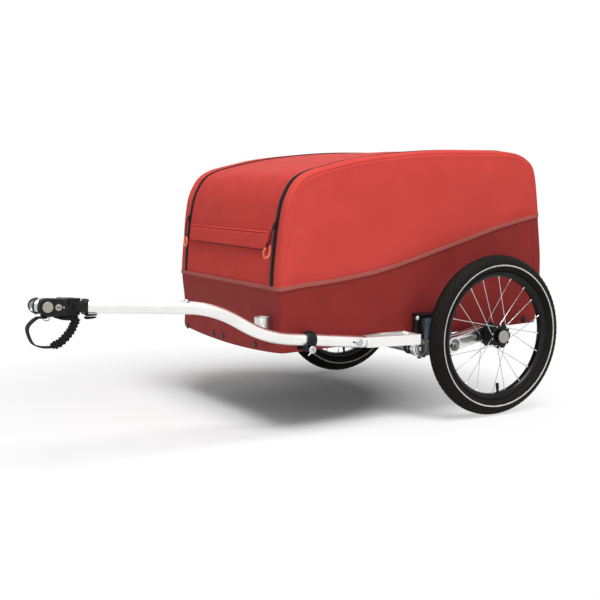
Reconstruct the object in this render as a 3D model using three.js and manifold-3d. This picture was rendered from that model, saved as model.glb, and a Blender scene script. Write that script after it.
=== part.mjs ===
// A two-wheeled cargo trailer that a bicycle pulls: a fabric box on an aluminium frame,
// sprung wheels on swing arms, and a side-mounted drawbar with a quick hitch.
// Millimetres. +X points forward to the hitch, +Y to the trailer's left, +Z up, ground at z = 0.
// Every piece is worked out from the axle line (x = 0, z = wheelRadius); at the end the whole
// trailer is moved along X so that the origin lies under the middle of its length.

import * as THREE from 'three';
import { mergeVertices } from 'three/addons/utils/BufferGeometryUtils.js';
import Module from 'manifold-3d';

const wasm = await Module();
wasm.setup();

// Driving dimensions, all lengths in millimetres

// Shared clearances
const seatGap = 0.3;              // between two pieces that touch
const overrun = 20;               // how far a cutter reaches past what it cuts

// Wheels, 16 inch
const wheelRadius = 200;
const wheelFacets = 36;           // the same for tyre and rim, so that they nest
const tyreSteps = 10;             // facets round the tyre's section
const tyreHalfWidth = 23.5;
const rimSeatRadius = 155;        // where the tyre sits on the rim
const rimDepth = 9;
const rimWidth = 24;
const spokeCount = 20;
const spokeRadius = 1.1;
const spokeLean = 42;             // degrees between a spoke's two ends, seen from the side
const valveLength = 26;
const valveRadius = 3.5;
const hubShellRadius = 15;
const hubFlangeRadius = 31;
const hubFlangeThickness = 4;
const hubFlangeSpacing = 44;
const hubEndLength = 2.5;         // how far the hub shell passes each flange
const axleRadius = 8;
const axleBoreRadius = 5.3;       // the button's stem runs in it
const axleBoreDepth = 14;
const axleHeadRadius = 12;
const axleHeadLength = 6;
const buttonCupRadius = 17.5;
const buttonCupLength = 6.5;
const buttonCupFloor = 2.5;
const releaseButtonRadius = 15.4;
const releaseButtonThickness = 4;
const releaseButtonStemRadius = 5;
const releaseButtonTravel = 2.5;
const releaseButtonChamfer = 1.2;

// Swing arms, pads and the tube that joins the two sides
const pivotForward = 203;         // from the axle line to the swing arms' pivot
const pivotDrop = 23;             // the pivot lies this far below the axle
const crossTubeRadius = 14;
const crossTubeWall = 2;
const armGap = 12;                // from the fabric to each swing arm
const tyreGap = 11.5;             // from each swing arm to its tyre
const swingArmWidth = 34;
const swingArmFrontRadius = 19;
const swingArmRearRadius = 17;
const swingArmBellyLength = 103;  // the straight lower stretch behind the pivot
const swingArmBellyRise = 3;
const swingArmHoleRadius = 14;    // the open lightening hole behind the pad
const swingArmHoleBack = 103;
const swingArmHoleRise = 2;
const swingArmSlotRadius = 4.5;
const swingArmSlotLength = 46;
const swingArmSlotBack = 148;
const swingArmSlotRise = 14;
const padLength = 88;
const padHeight = 55;
const padWidth = 38;
const padWaist = 4;               // how far each end of the pad draws in at mid height
const padFront = 15;              // from the pivot back to the pad's front face
const bracketPlate = 6;
const bracketShelf = 8;
const bracketPostLength = 16;
const bracketRearLap = 8;         // the bracket passes the pad's rear end by this
const bracketPlateDrop = 37;      // how far the plate hangs below the shelf
const bracketRingRadius = 19;

// Fabric box
const bodyLength = 793;
const bodyHeight = 477;           // hem belly to roof
const bodyWidth = 544;
const bodyReach = 570;            // foremost point ahead of the axle line
const bodyRear = bodyLength - bodyReach;
const bodyBase = 177;             // hem belly above the ground
const bodyEdgeRadius = 28;
const bodySkirt = 60;             // the outline reaches this far below the hem before it is cut
const fabricWall = 4;
const hemFront = 189;
const hemRear = 208;
const cornerSeam = 22;            // front panel wraps round the corner by this
const rearSeam = 34;
const bandHeight = 10;
const bandThickness = 1.5;
const zipInset = 40;              // from the side to each zip's middle line
const zipPlace = bodyWidth / 2 - zipInset;
const zipWidth = 9;
const zipProud = 0.8;
const zipDepth = 2;
const lidBack = 113;              // from the rearmost point to the lid's rear edge
const lidHinge = bodyRear - lidBack;
const sliderHeight = 480;
const sliderLength = 14;
const sliderWidth = 8.4;          // narrower than the gap beside the lid
const sliderThickness = 5;
const pullLength = 72;
const pullWidth = 22;
const pullRadius = 1.6;
const flapTop = 466;
const flapHeight = 42;
const flapInset = 30;             // from each zip's middle line to the flap's end
const flapWidth = 2 * (zipPlace - flapInset);
const flapThickness = 3;

// The swing arms stand beside the fabric, and the wheels beside the swing arms
const swingArmInset = tyreHalfWidth + tyreGap;
const wheelTrack = bodyWidth + 2 * (armGap + swingArmWidth + swingArmInset);

// Share tables: x as a share of bodyLength from the rear, z of bodyHeight from the hem belly
const outlineShares = [
  [0.990, 0.002], [0.987, 0.168], [0.996, 0.342], [0.985, 0.558], [0.973, 0.679],
  [0.958, 0.767], [0.929, 0.845], [0.889, 0.887], [0.823, 0.916], [0.710, 0.954],
  [0.566, 0.983], [0.416, 0.998], [0.243, 1.000], [0.158, 0.996], [0.105, 0.971],
  [0.064, 0.922], [0.044, 0.855], [0.032, 0.753], [0.018, 0.635], [0.004, 0.509],
  [0.000, 0.394], [0.011, 0.237], [0.021, 0.065],
];
const bandShares = [
  [0.016, 0.656], [0.179, 0.600], [0.303, 0.545], [0.460, 0.476], [0.612, 0.413],
  [0.721, 0.382], [0.826, 0.361], [0.929, 0.348], [0.985, 0.335],
];


// The pull's loop: out from the slider as shares of pullWidth, down as shares of pullLength
const pullShares = [
  [0, 0], [0.35, -0.35], [0.95, -0.78], [0.65, -1], [0.08, -0.86], [0, -0.4],
];

// The strap's route: x as a share of strapLoopLength from its front, z of strapLoopDrop from its top
const strapThinShares = [
  [-0.25, 0], [-0.05, 0], [0.14, -0.22], [0.19, -0.45], [0.06, -0.86], [-0.16, -1], [-0.45, -1],
];
const strapGatherShares = [
  [-0.40, -0.98], [-0.62, -0.84], [-0.84, -0.48], [-0.96, -0.1], [-1, 0.1],
];

// Base frame inside the fabric
const railWidth = 20;
const railHeight = 25;
const railBottom = 209;
const railRearGap = 18;           // from the fabric's rearmost point to the rails
const railFrontGap = 20;
const railRear = bodyRear - railRearGap;
const railLength = bodyLength - railRearGap - railFrontGap;
const floorThickness = 4;
const floorRearGap = 35;          // from the rails' ends to the floor board's
const floorFrontGap = 26;
const floorRear = railRear - floorRearGap;
const floorLength = railLength - floorRearGap - floorFrontGap;
const floorSideGap = 4;
const hoopRadius = 8;
const hoopStart = 0.155;          // share of the outline's points where the hoop leaves the front
const hoopCorner = 14;            // hoop axis inside the fabric, both ways, so it fits the corner
const stayRadius = 7;
const stayFrontShare = 0.345;
const stayRearShare = 0.665;

// Outrigger, clamp and front socket
const outriggerBack = 216;
const outriggerFront = 356;
const outriggerKnee = 296;
const outriggerReach = 70;        // from the fabric to the outrigger's outer rear corner
const outriggerHeight = 25;
const outriggerMiddle = 205;
const outriggerWall = 4;
const outriggerNose = 31;         // width of the narrow front end
const spigotRadius = 11.7;
const spigotLength = 56;
const clampPlace = 508;
const clampWidth = 24;
const clampWall = 5;
const clampLugNear = 17;          // the lug's outer face, from the tube's axis
const clampLugHeight = 13;
const clampFootHeight = 30;
const clampFootThickness = 4;
const knobRadius = 9;
const knobThickness = 6;
const knobShaftRadius = 3;
const knobSlotWidth = 2;
const knobDrop = 20;              // from the tube's axis down to the knob's axis
const socketOuterRadius = 16;
const socketWall = 2.5;
const socketAhead = 12;           // from the fabric's foremost point
const socketInset = 57;           // from the fabric's side
const socketForward = bodyReach + socketAhead;
const socketAside = bodyWidth / 2 - socketInset;
const socketTop = 270;
const socketBottom = 212;
const socketLugWidth = 20;
const socketLugHeight = 18;

// Drawbar
const drawbarRadius = 14;
const drawbarWall = 2;
const drawbarOut = 30;            // from the fabric's side to the drawbar's middle plane
const drawbarAside = bodyWidth / 2 + drawbarOut;
const drawbarRear = 358;
const drawbarLowRun = 258;        // along X, to the corner of the first bend
const drawbarLowRise = 28.5;
const drawbarRamp = 133;
const drawbarRampRise = 77;
const drawbarTopRun = 286;
const drawbarTopRise = 21.8;
const drawbarBend = 52;           // from a corner to where its bend begins
const pinFromEnd = 22;
const pinRadius = 4;
const pinHeadRadius = 9;
const pinHeadThickness = 5;
const pinTip = 4;                 // the pin's tip stands out of the tube's far side by this

// Hitch, along the drawbar's upper run
const knuckleWeb = 7;
const knuckleSpigot = 30;
const knuckleReach = 22;          // from the tube's end to the joint's centre
const knuckleCheekThickness = 5;
const knuckleCheekRadius = 9;
const knuckleHalfHeight = 11;
const knuckleHalfWidth = 16;
const swivelHalf = 10.5;          // half the swivel block, across
const swivelHalfLength = 8.5;
const swivelPinRadius = 3;
const jawOpening = 24;
const jawThickness = 5;
const jawHalfWidth = 10;
const jawRearReach = 9.5;         // short enough to clear the knuckle when the hitch tips
const jawWebFront = 22;
const jawWebThickness = 14;
const hitchHalfHeight = 17;
const housingLength = 47;         // the near side plate, from the web forward
const housingNear = 26;           // plate's outer face from the drawbar's middle plane
const housingInner = 9;           // and its inner face, cut by the socket tube
const socketTubeRadius = 16;
const socketTubeBore = 12.8;
const socketTubeLength = 53;
const socketTubeFloor = 3;
const mouthRingLength = 3;
const mouthRingProud = 1;
const hitchButtonRadius = 11;
const hitchButtonBack = 18;       // from the plate's front end
const hitchButtonProud = 2;
const hitchButtonDepth = 5;
const keyLockRadius = 7;
const keyLockSpacing = 22;
const keySlotLength = 8;
const keySlotWidth = 1.6;
const strapWidth = 20;
const strapThickness = 3;
const strapGatherThickness = 11;
const strapLoopDrop = 59;
const strapLoopLength = 85;
const tailLength = 80;
const tailThickness = 4;
const tailBack = 10;              // from the plate's front end to the tail's front end

// Colours
const paint = {
  upperRed: 0xc8463f, frontRed: 0xb43c36, lowerRed: 0x8a302d, band: 0xa05550,
  black: 0x1c1b1d, tyre: 0x222122, silver: 0xd9dadb, steel: 0xb4b6b8, pad: 0x46535f,
  orange: 0xd9694a, floor: 0x3a3c3e, button: 0x9d9890, web: 0x161517,
};

// Geometry helpers

const X = new THREE.Vector3(1, 0, 0);
const Y = new THREE.Vector3(0, 1, 0);
const Z = new THREE.Vector3(0, 0, 1);
const place = (x, y) => new THREE.Vector2(x, y);

// A three.js geometry as a closed solid: shared corners merged, empty triangles dropped.
function solidOf(geometry) {
  geometry.deleteAttribute('normal');
  geometry.deleteAttribute('uv');
  const merged = mergeVertices(geometry, 1e-4);
  const corners = merged.index.array;
  const kept = [];
  for (let i = 0; i < corners.length; i += 3) {
    const [a, b, c] = [corners[i], corners[i + 1], corners[i + 2]];
    if (a !== b && b !== c && c !== a) kept.push(a, b, c);
  }
  return new wasm.Manifold(new wasm.Mesh({
    numProp: 3,
    vertProperties: new Float32Array(merged.attributes.position.array),
    triVerts: new Uint32Array(kept),
  }));
}

function geometryOf(solid) {
  const mesh = solid.getMesh();
  const geometry = new THREE.BufferGeometry();
  geometry.setAttribute('position', new THREE.BufferAttribute(mesh.vertProperties, 3));
  geometry.setIndex(new THREE.BufferAttribute(mesh.triVerts, 1));
  geometry.computeVertexNormals();
  return geometry;
}

const joined = (...solids) => solids.reduce((all, next) => all.add(next));

// The same piece on the other side of the middle plane, with its faces turned back out.
function mirrored(geometry) {
  const copy = geometry.clone();
  copy.scale(1, -1, 1);
  const corners = copy.index.array;
  for (let i = 0; i < corners.length; i += 3) {
    [corners[i], corners[i + 1]] = [corners[i + 1], corners[i]];
  }
  copy.computeVertexNormals();
  return copy;
}

// Where an outline drawn as (u, v) goes when it is carried along each axis:
// along x it is (y, z), along y it is (x, z), along z it is (x, y).
const carried = {
  x: new THREE.Matrix4().makeBasis(Y, Z, X),
  y: new THREE.Matrix4().makeBasis(X, Z, Y.clone().negate()),
  z: new THREE.Matrix4(),
};

function prism(shape, axis, from, to, curveSegments = 8) {
  const geometry = new THREE.ExtrudeGeometry(shape, {
    depth: to - from, steps: 1, bevelEnabled: false, curveSegments,
  });
  geometry.applyMatrix4(carried[axis]);
  const start = axis === 'y' ? to : from;
  geometry.translate(...{ x: [start, 0, 0], y: [0, start, 0], z: [0, 0, start] }[axis]);
  return solidOf(geometry);
}

function block(x0, x1, y0, y1, z0, z1) {
  const geometry = new THREE.BoxGeometry(x1 - x0, y1 - y0, z1 - z0);
  geometry.translate((x0 + x1) / 2, (y0 + y1) / 2, (z0 + z1) / 2);
  return solidOf(geometry);
}

function circle(radius, u = 0, v = 0) {
  return new THREE.Shape().absarc(u, v, radius, 0, 2 * Math.PI);
}

function polygon(points) {
  return new THREE.Shape(points.map(([u, v]) => place(u, v)));
}

// A bar with round ends between two points.
function stadium(u0, v0, u1, v1, radius) {
  const turn = Math.atan2(v1 - v0, u1 - u0);
  const shape = new THREE.Shape();
  shape.absarc(u1, v1, radius, turn - Math.PI / 2, turn + Math.PI / 2);
  shape.absarc(u0, v0, radius, turn + Math.PI / 2, turn + 3 * Math.PI / 2);
  return shape;
}

// A closed (radius, y) profile turned about the Y axis.
function turned(profile, segments) {
  const closed = [...profile, profile[0]].map(([r, y]) => place(r, y));
  return solidOf(new THREE.LatheGeometry(closed, segments));
}

function sweep(section, path, steps, curveSegments) {
  return solidOf(new THREE.ExtrudeGeometry(section, {
    steps, extrudePath: path, bevelEnabled: false, curveSegments,
  }));
}

// Fabric box

const bodyX = (share) => share * bodyLength - bodyRear;
const bodyZ = (share) => share * bodyHeight + bodyBase;
const bodyHalf = bodyWidth / 2;
const bodyFront = bodyX(1);
const bodyTop = bodyZ(1);

function bodyOutline() {
  const points = outlineShares.map(([x, z]) => place(bodyX(x), bodyZ(z)));
  const shape = new THREE.Shape();
  shape.moveTo(points.at(-1).x, bodyBase - bodySkirt);
  shape.lineTo(points[0].x, bodyBase - bodySkirt);
  shape.lineTo(points[0].x, points[0].y);
  shape.splineThru(points.slice(1));
  return shape;
}

// The whole box as one solid with rounded edges, grown or shrunk evenly by growth.
function bodySolid(growth) {
  const depth = bodyWidth - 2 * bodyEdgeRadius;
  const geometry = new THREE.ExtrudeGeometry(bodyOutline(), {
    depth, steps: 1, curveSegments: 2, bevelEnabled: true, bevelSegments: 3,
    bevelThickness: bodyEdgeRadius + growth,
    bevelSize: bodyEdgeRadius + growth,
    bevelOffset: -bodyEdgeRadius,
  });
  geometry.translate(0, 0, -depth / 2);
  geometry.applyMatrix4(carried.y);
  return solidOf(geometry);
}

const shell = bodySolid(0).subtract(bodySolid(-fabricWall));

// The band's line along the side, moved up or down, and run on level past both ends.
function bandLine(lift) {
  const curve = new THREE.SplineCurve(bandShares.map(([x, z]) => place(bodyX(x), bodyZ(z))));
  const points = curve.getPoints(bandShares.length);
  points.unshift(place(-bodyRear - overrun, points[0].y));
  points.push(place(bodyFront + overrun, points.at(-1).y));
  return points.map((p) => place(p.x, p.y + lift));
}

// Everything between two lines in the side view, right across the box.
function layer(lower, upper) {
  const shape = new THREE.Shape([...lower, ...[...upper].reverse()]);
  return prism(shape, 'y', -bodyHalf - overrun, bodyHalf + overrun);
}

const level = (z) => [place(-bodyRear - overrun, z), place(bodyFront + overrun, z)];
const hemLine = [place(-bodyRear - overrun, hemRear), place(bodyFront + overrun, hemFront)];

const upperLayer = layer(bandLine(bandHeight / 2 + seatGap), level(bodyTop + overrun));
const lowerLayer = layer(hemLine, bandLine(bandHeight / 2));
const upperShell = shell.intersect(upperLayer);
const lowerShell = shell.intersect(lowerLayer);

function across(from, to, x0, x1) {
  return block(x0, x1, from, to, bodyBase - bodySkirt - overrun, bodyTop + overrun);
}

const farAhead = bodyFront + overrun;
const farBehind = -bodyRear - overrun;
const farAside = bodyHalf + overrun;
const zipInner = zipPlace - zipWidth / 2;
const zipOuter = zipPlace + zipWidth / 2;

function sidePanel() {
  const besideZip = across(zipOuter + seatGap, farAside, farBehind, farAhead);
  const behindLid = across(zipPlace + seatGap, farAside, farBehind, -lidHinge - seatGap);
  return geometryOf(upperShell.intersect(joined(besideZip, behindLid)));
}

function rearUpperPanel() {
  const middle = across(-zipPlace, zipPlace, farBehind, -lidHinge - seatGap);
  return geometryOf(upperShell.intersect(middle));
}

function lidPanel() {
  const middle = across(-zipInner + seatGap, zipInner - seatGap, -lidHinge, farAhead);
  return geometryOf(upperShell.intersect(middle));
}

function zipTape() {
  const skin = bodySolid(zipProud).subtract(bodySolid(-zipDepth));
  const strip = across(zipInner, zipOuter, -lidHinge, farAhead);
  return geometryOf(skin.intersect(upperLayer).intersect(strip));
}

const frontSeamX = bodyFront - cornerSeam;
const rearSeamX = -bodyRear + rearSeam;
const lugTop = socketBottom + socketLugHeight;

// The front hem hangs in a shallow curve, lowest in the middle.
function lowerFrontPanel() {
  const shape = new THREE.Shape();
  shape.moveTo(-farAside, hemFront);
  shape.lineTo(-bodyHalf, hemFront);
  shape.quadraticCurveTo(0, 2 * bodyBase - hemFront, bodyHalf, hemFront);
  shape.lineTo(farAside, hemFront);
  shape.lineTo(farAside, bodyTop);
  shape.lineTo(-farAside, bodyTop);
  const aboveHem = prism(shape, 'x', frontSeamX + seatGap, farAhead);
  const belowBand = layer(level(bodyBase - bodySkirt), bandLine(bandHeight / 2));
  const lugHole = block(
    frontSeamX, farAhead,
    socketAside - socketLugWidth / 2 - seatGap, socketAside + socketLugWidth / 2 + seatGap,
    socketBottom - seatGap, lugTop + seatGap,
  );
  return geometryOf(shell.intersect(aboveHem).intersect(belowBand).subtract(lugHole));
}

function lowerSidePanel() {
  return geometryOf(lowerShell.intersect(across(0, farAside, rearSeamX + seatGap, frontSeamX)));
}

function lowerRearPanel() {
  return geometryOf(lowerShell.intersect(across(-farAside, farAside, farBehind, rearSeamX)));
}

function trimBand() {
  const skin = bodySolid(seatGap + bandThickness).subtract(bodySolid(seatGap));
  return geometryOf(skin.intersect(layer(bandLine(-bandHeight / 2), bandLine(bandHeight / 2))));
}

// The outline of the box as points, and the outward normal at each.
const outlinePoints = (() => {
  const shape = bodyOutline();
  const spline = shape.curves.at(-1);
  return spline.getPoints(outlineShares.length * 4);
})();

function outwardAt(index) {
  const before = outlinePoints[Math.max(index - 1, 0)];
  const after = outlinePoints[Math.min(index + 1, outlinePoints.length - 1)];
  const along = after.clone().sub(before).normalize();
  return place(along.y, -along.x);
}

function insetPoint(index, inset) {
  return outlinePoints[index].clone().addScaledVector(outwardAt(index), -inset);
}

// Where the front face is at one height, and how far it leans back there.
function frontFace(height) {
  const index = outlinePoints.findIndex((p) => p.y > height);
  const [low, high] = [outlinePoints[index - 1], outlinePoints[index]];
  const share = (height - low.y) / (high.y - low.y);
  return {
    x: THREE.MathUtils.lerp(low.x, high.x, share),
    lean: Math.atan2(low.x - high.x, high.y - low.y),
  };
}

// Zip sliders and pulls, made upright at the origin and leaned onto the front face.
const sliderFace = frontFace(sliderHeight);

function sliderBody() {
  const base = zipProud + seatGap;
  return geometryOf(block(
    base, base + sliderThickness, -sliderWidth / 2, sliderWidth / 2,
    -sliderLength / 2, sliderLength / 2,
  ));
}

// A limp loop of cord that hangs from the bail on the slider's front.
const pullOut = zipProud + 2 * seatGap + sliderThickness + pullRadius;

function pullLoop() {
  const path = new THREE.CatmullRomCurve3(pullShares.map(([x, z]) => (
    new THREE.Vector3(pullOut + x * pullWidth, 0, z * pullLength)
  )), true);
  return geometryOf(sweep(circle(pullRadius), path, 20, 3));
}

function handleFlap() {
  const skin = bodySolid(seatGap + flapThickness).subtract(bodySolid(seatGap));
  const patch = block(
    bodyFront / 2, farAhead, -flapWidth / 2, flapWidth / 2, flapTop - flapHeight, flapTop,
  );
  return geometryOf(skin.intersect(patch));
}

// Base frame

const railOuter = bodyHalf - fabricWall - seatGap;
const railInner = railOuter - railWidth;
const railTop = railBottom + railHeight;
const railFront = railLength - railRear;

function sideRail() {
  const bar = block(-railRear, railFront, railInner, railOuter, railBottom, railTop);
  return geometryOf(bar.intersect(bodySolid(-fabricWall - seatGap)));
}

function crossMember(x0) {
  const half = railInner - seatGap;
  return geometryOf(block(x0, x0 + railWidth, -half, half, railBottom, railTop));
}

function floorPanel() {
  const half = bodyHalf - fabricWall - floorSideGap;
  return geometryOf(block(
    -floorRear, floorLength - floorRear, -half, half,
    railTop + seatGap, railTop + seatGap + floorThickness,
  ));
}

const hoopAside = bodyHalf - fabricWall - hoopCorner;
const hoopInset = fabricWall + hoopCorner;

function hoop() {
  const last = outlinePoints.length - 1;
  const first = Math.round(hoopStart * last);
  const points = [];
  for (let i = first; i <= last; i += 4) {
    const p = insetPoint(i, hoopInset);
    if (p.y > railTop + hoopRadius) points.push(new THREE.Vector3(p.x, hoopAside, p.y));
  }
  const foot = railTop + seatGap;
  points.unshift(new THREE.Vector3(points[0].x, hoopAside, foot));
  points.push(new THREE.Vector3(points.at(-1).x, hoopAside, foot));
  return geometryOf(sweep(circle(hoopRadius), new THREE.CatmullRomCurve3(points), 32, 3));
}

function stay(share) {
  const p = insetPoint(Math.round(share * (outlinePoints.length - 1)), hoopInset);
  const half = hoopAside - hoopRadius - seatGap;
  return geometryOf(prism(circle(stayRadius, p.x, p.y), 'y', -half, half, 5));
}

// Wheels, made about the Y axis with the wheel plane at y = 0

function tyre() {
  const centre = wheelRadius - tyreHalfWidth;
  const bead = Math.acos((centre - rimSeatRadius) / tyreHalfWidth);
  const profile = [];
  for (let i = 0; i <= tyreSteps; i++) {
    const angle = -Math.PI + bead + (2 * (Math.PI - bead) * i) / tyreSteps;
    profile.push([centre + tyreHalfWidth * Math.cos(angle), tyreHalfWidth * Math.sin(angle)]);
  }
  return geometryOf(turned(profile, wheelFacets));
}

function rod(from, to, radius, sides) {
  const length = from.distanceTo(to);
  const geometry = new THREE.CylinderGeometry(radius, radius, length, sides);
  geometry.translate(0, length / 2, 0);
  const along = to.clone().sub(from).normalize();
  geometry.applyQuaternion(new THREE.Quaternion().setFromUnitVectors(Y, along));
  geometry.translate(from.x, from.y, from.z);
  return solidOf(geometry);
}

function around(radius, degrees, y) {
  const angle = THREE.MathUtils.degToRad(degrees);
  return new THREE.Vector3(radius * Math.cos(angle), y, radius * Math.sin(angle));
}

// The rim with its spokes and valve: one body, as they are when the wheel is built.
function rimWithSpokes() {
  const outer = rimSeatRadius - seatGap;
  const inner = outer - rimDepth;
  const half = rimWidth / 2;
  const ring = turned([
    [inner, -half / 2], [outer, -half], [outer, half], [inner, half / 2],
  ], wheelFacets);
  const pieces = [ring];
  const pitch = 360 / spokeCount;
  for (let i = 0; i < spokeCount; i++) {
    const side = i % 2 ? 1 : -1;
    const lean = i % 4 < 2 ? spokeLean : -spokeLean;
    const rimEnd = around(inner + rimDepth / 3, i * pitch, side * half / 4);
    const hubEnd = around(hubFlangeRadius + seatGap + spokeRadius, i * pitch + lean,
      side * hubFlangeSpacing / 2);
    pieces.push(rod(rimEnd, hubEnd, spokeRadius, 3));
  }
  const valveFoot = around(inner + rimDepth / 3, -90 + pitch / 4, 0);
  const valveTip = around(inner - valveLength, -90 + pitch / 4, 0);
  pieces.push(rod(valveFoot, valveTip, valveRadius, 5));
  return geometryOf(joined(...pieces));
}

const hubHalf = hubFlangeSpacing / 2 + hubFlangeThickness / 2 + hubEndLength;

function hub() {
  const bore = axleRadius + seatGap;
  const near = hubFlangeSpacing / 2 - hubFlangeThickness / 2;
  const far = near + hubFlangeThickness;
  const half = [
    [hubShellRadius, near], [hubFlangeRadius, near], [hubFlangeRadius, far],
    [hubShellRadius + seatGap, far], [hubShellRadius, hubHalf], [bore, hubHalf],
  ];
  const other = half.map(([r, y]) => [r, -y]).reverse();
  return geometryOf(turned([...other, ...half], 20));
}

// Swing arms, axles and buttons, made for the left side

const wheelPlane = wheelTrack / 2;
const pivotHeight = wheelRadius - pivotDrop;
const armOuter = wheelPlane - swingArmInset;
const armInner = armOuter - swingArmWidth;
const armTop = pivotHeight + swingArmFrontRadius;
const padBack = pivotForward - padFront - padLength;

function swingArm() {
  const frontBottom = pivotHeight - swingArmFrontRadius;
  const bellyX = pivotForward - swingArmBellyLength;
  const outline = new THREE.Shape();
  outline.absarc(pivotForward, pivotHeight, swingArmFrontRadius, -Math.PI / 2, Math.PI / 2);
  outline.lineTo(padBack, armTop);
  outline.lineTo(0, wheelRadius + swingArmRearRadius);
  outline.absarc(0, wheelRadius, swingArmRearRadius, Math.PI / 2, 3 * Math.PI / 2);
  outline.lineTo(bellyX, frontBottom + swingArmBellyRise);
  const slotFront = pivotForward - swingArmSlotBack + swingArmSlotLength / 2;
  const slotBack = slotFront - swingArmSlotLength;
  const slotTilt = swingArmSlotLength * pivotDrop / pivotForward;
  const slotHeight = pivotHeight + swingArmSlotRise;
  const holes = [
    circle(crossTubeRadius + seatGap, pivotForward, pivotHeight),
    circle(swingArmHoleRadius, pivotForward - swingArmHoleBack, pivotHeight + swingArmHoleRise),
    circle(axleRadius + seatGap, 0, wheelRadius),
    stadium(slotBack, slotHeight + slotTilt / 2, slotFront, slotHeight - slotTilt / 2,
      swingArmSlotRadius),
  ];
  outline.holes.push(...holes);
  return geometryOf(prism(outline, 'y', armInner, armOuter, 8));
}

const cupStart = wheelPlane + hubHalf + seatGap;
const cupFloorTop = cupStart + buttonCupFloor;
const cupTop = cupStart + buttonCupLength;

function axle() {
  const profile = [
    [0, armInner - seatGap - axleHeadLength],
    [axleHeadRadius, armInner - seatGap - axleHeadLength],
    [axleHeadRadius, armInner - seatGap],
    [axleRadius, armInner - seatGap],
    [axleRadius, armOuter + seatGap],
    [axleHeadRadius, armOuter + seatGap],
    [axleHeadRadius, wheelPlane - hubHalf - seatGap],
    [axleRadius, wheelPlane - hubHalf - seatGap],
    [axleRadius, cupStart],
    [buttonCupRadius, cupStart],
    [buttonCupRadius, cupTop],
    [releaseButtonRadius + seatGap, cupTop],
    [releaseButtonRadius + seatGap, cupFloorTop],
    [axleBoreRadius, cupFloorTop],
    [axleBoreRadius, cupFloorTop - axleBoreDepth],
    [0, cupFloorTop - axleBoreDepth],
  ];
  return geometryOf(turned(profile, 16));
}

function releaseButton() {
  const back = cupFloorTop + releaseButtonTravel + seatGap;
  const stemEnd = cupFloorTop - axleBoreDepth + releaseButtonTravel + seatGap;
  const profile = [
    [0, stemEnd],
    [releaseButtonStemRadius, stemEnd],
    [releaseButtonStemRadius, back],
    [releaseButtonRadius, back],
    [releaseButtonRadius, back + releaseButtonThickness - releaseButtonChamfer],
    [releaseButtonRadius - releaseButtonChamfer, back + releaseButtonThickness],
    [0, back + releaseButtonThickness],
  ];
  return geometryOf(turned(profile, 16));
}

const fabricSide = bodyHalf + seatGap;
const bracketInner = fabricSide;
const bracketFace = bracketInner + bracketPlate;
const padBottom = armTop + seatGap;
const padTop = padBottom + padHeight;
const padFrontX = pivotForward - padFront;

function suspensionPad() {
  const shape = new THREE.Shape();
  const middle = (padBottom + padTop) / 2;
  shape.moveTo(padBack, padBottom);
  shape.lineTo(padFrontX, padBottom);
  shape.quadraticCurveTo(padFrontX - padWaist, middle, padFrontX, padTop);
  shape.lineTo(padBack, padTop);
  shape.quadraticCurveTo(padBack + padWaist, middle, padBack, padBottom);
  const near = bracketFace + seatGap;
  return geometryOf(prism(shape, 'y', near, near + padWidth, 5));
}

function padBracket() {
  const reach = bracketFace + seatGap + padWidth;
  const shelfBottom = padTop + seatGap;
  const shelfTop = shelfBottom + bracketShelf;
  const back = padBack - bracketRearLap;
  const postBack = padFrontX + seatGap;
  const front = postBack + bracketPostLength;
  const plate = block(back, front, bracketInner, bracketFace, shelfTop - bracketPlateDrop, shelfTop);
  const leg = block(
    pivotForward - bracketRingRadius, front, bracketInner, bracketFace, pivotHeight, shelfTop,
  );
  const ring = prism(circle(bracketRingRadius, pivotForward, pivotHeight), 'y',
    bracketInner, bracketFace, 8);
  const shelf = block(back, front, bracketInner, reach, shelfBottom, shelfTop);
  const post = block(postBack, front, bracketInner, reach, armTop + bracketPostLength, shelfTop);
  const bore = prism(circle(crossTubeRadius + seatGap, pivotForward, pivotHeight), 'y',
    bracketInner - overrun, bracketFace + overrun, 8);
  return geometryOf(joined(plate, leg, ring, shelf, post).subtract(bore));
}

function crossTube() {
  const shape = circle(crossTubeRadius, pivotForward, pivotHeight);
  shape.holes.push(circle(crossTubeRadius - crossTubeWall, pivotForward, pivotHeight));
  return geometryOf(prism(shape, 'y', -armOuter, armOuter, 8));
}

// Drawbar: a low run along the side, an S bend up, and a long top run to the hitch

const lowSlope = Math.atan2(drawbarLowRise, drawbarLowRun);
const topSlope = Math.atan2(drawbarTopRise, drawbarTopRun);
const drawbarStart = new THREE.Vector3(drawbarRear, drawbarAside, outriggerMiddle);
const lowCorner = drawbarStart.clone().add(new THREE.Vector3(drawbarLowRun, 0, drawbarLowRise));
const topCorner = lowCorner.clone().add(new THREE.Vector3(drawbarRamp, 0, drawbarRampRise));
const drawbarEnd = topCorner.clone().add(new THREE.Vector3(drawbarTopRun, 0, drawbarTopRise));

function towards(from, to, distance) {
  return from.clone().addScaledVector(to.clone().sub(from).normalize(), distance);
}

function drawbarPath() {
  const path = new THREE.CurvePath();
  const lowIn = towards(lowCorner, drawbarStart, drawbarBend);
  const lowOut = towards(lowCorner, topCorner, drawbarBend);
  const topIn = towards(topCorner, lowCorner, drawbarBend);
  const topOut = towards(topCorner, drawbarEnd, drawbarBend);
  path.add(new THREE.LineCurve3(drawbarStart, lowIn));
  path.add(new THREE.QuadraticBezierCurve3(lowIn, lowCorner, lowOut));
  path.add(new THREE.LineCurve3(lowOut, topIn));
  path.add(new THREE.QuadraticBezierCurve3(topIn, topCorner, topOut));
  path.add(new THREE.LineCurve3(topOut, drawbarEnd));
  return path;
}

// Solids made along X from the origin, tipped up by a slope and set down at a point.
function tipped(solidMaker, slope, point) {
  const geometry = geometryOf(solidMaker);
  geometry.rotateY(-slope);
  geometry.translate(point.x, point.y, point.z);
  return solidOf(geometry);
}

const pinPlace = towards(drawbarStart, lowCorner, pinFromEnd);

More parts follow.
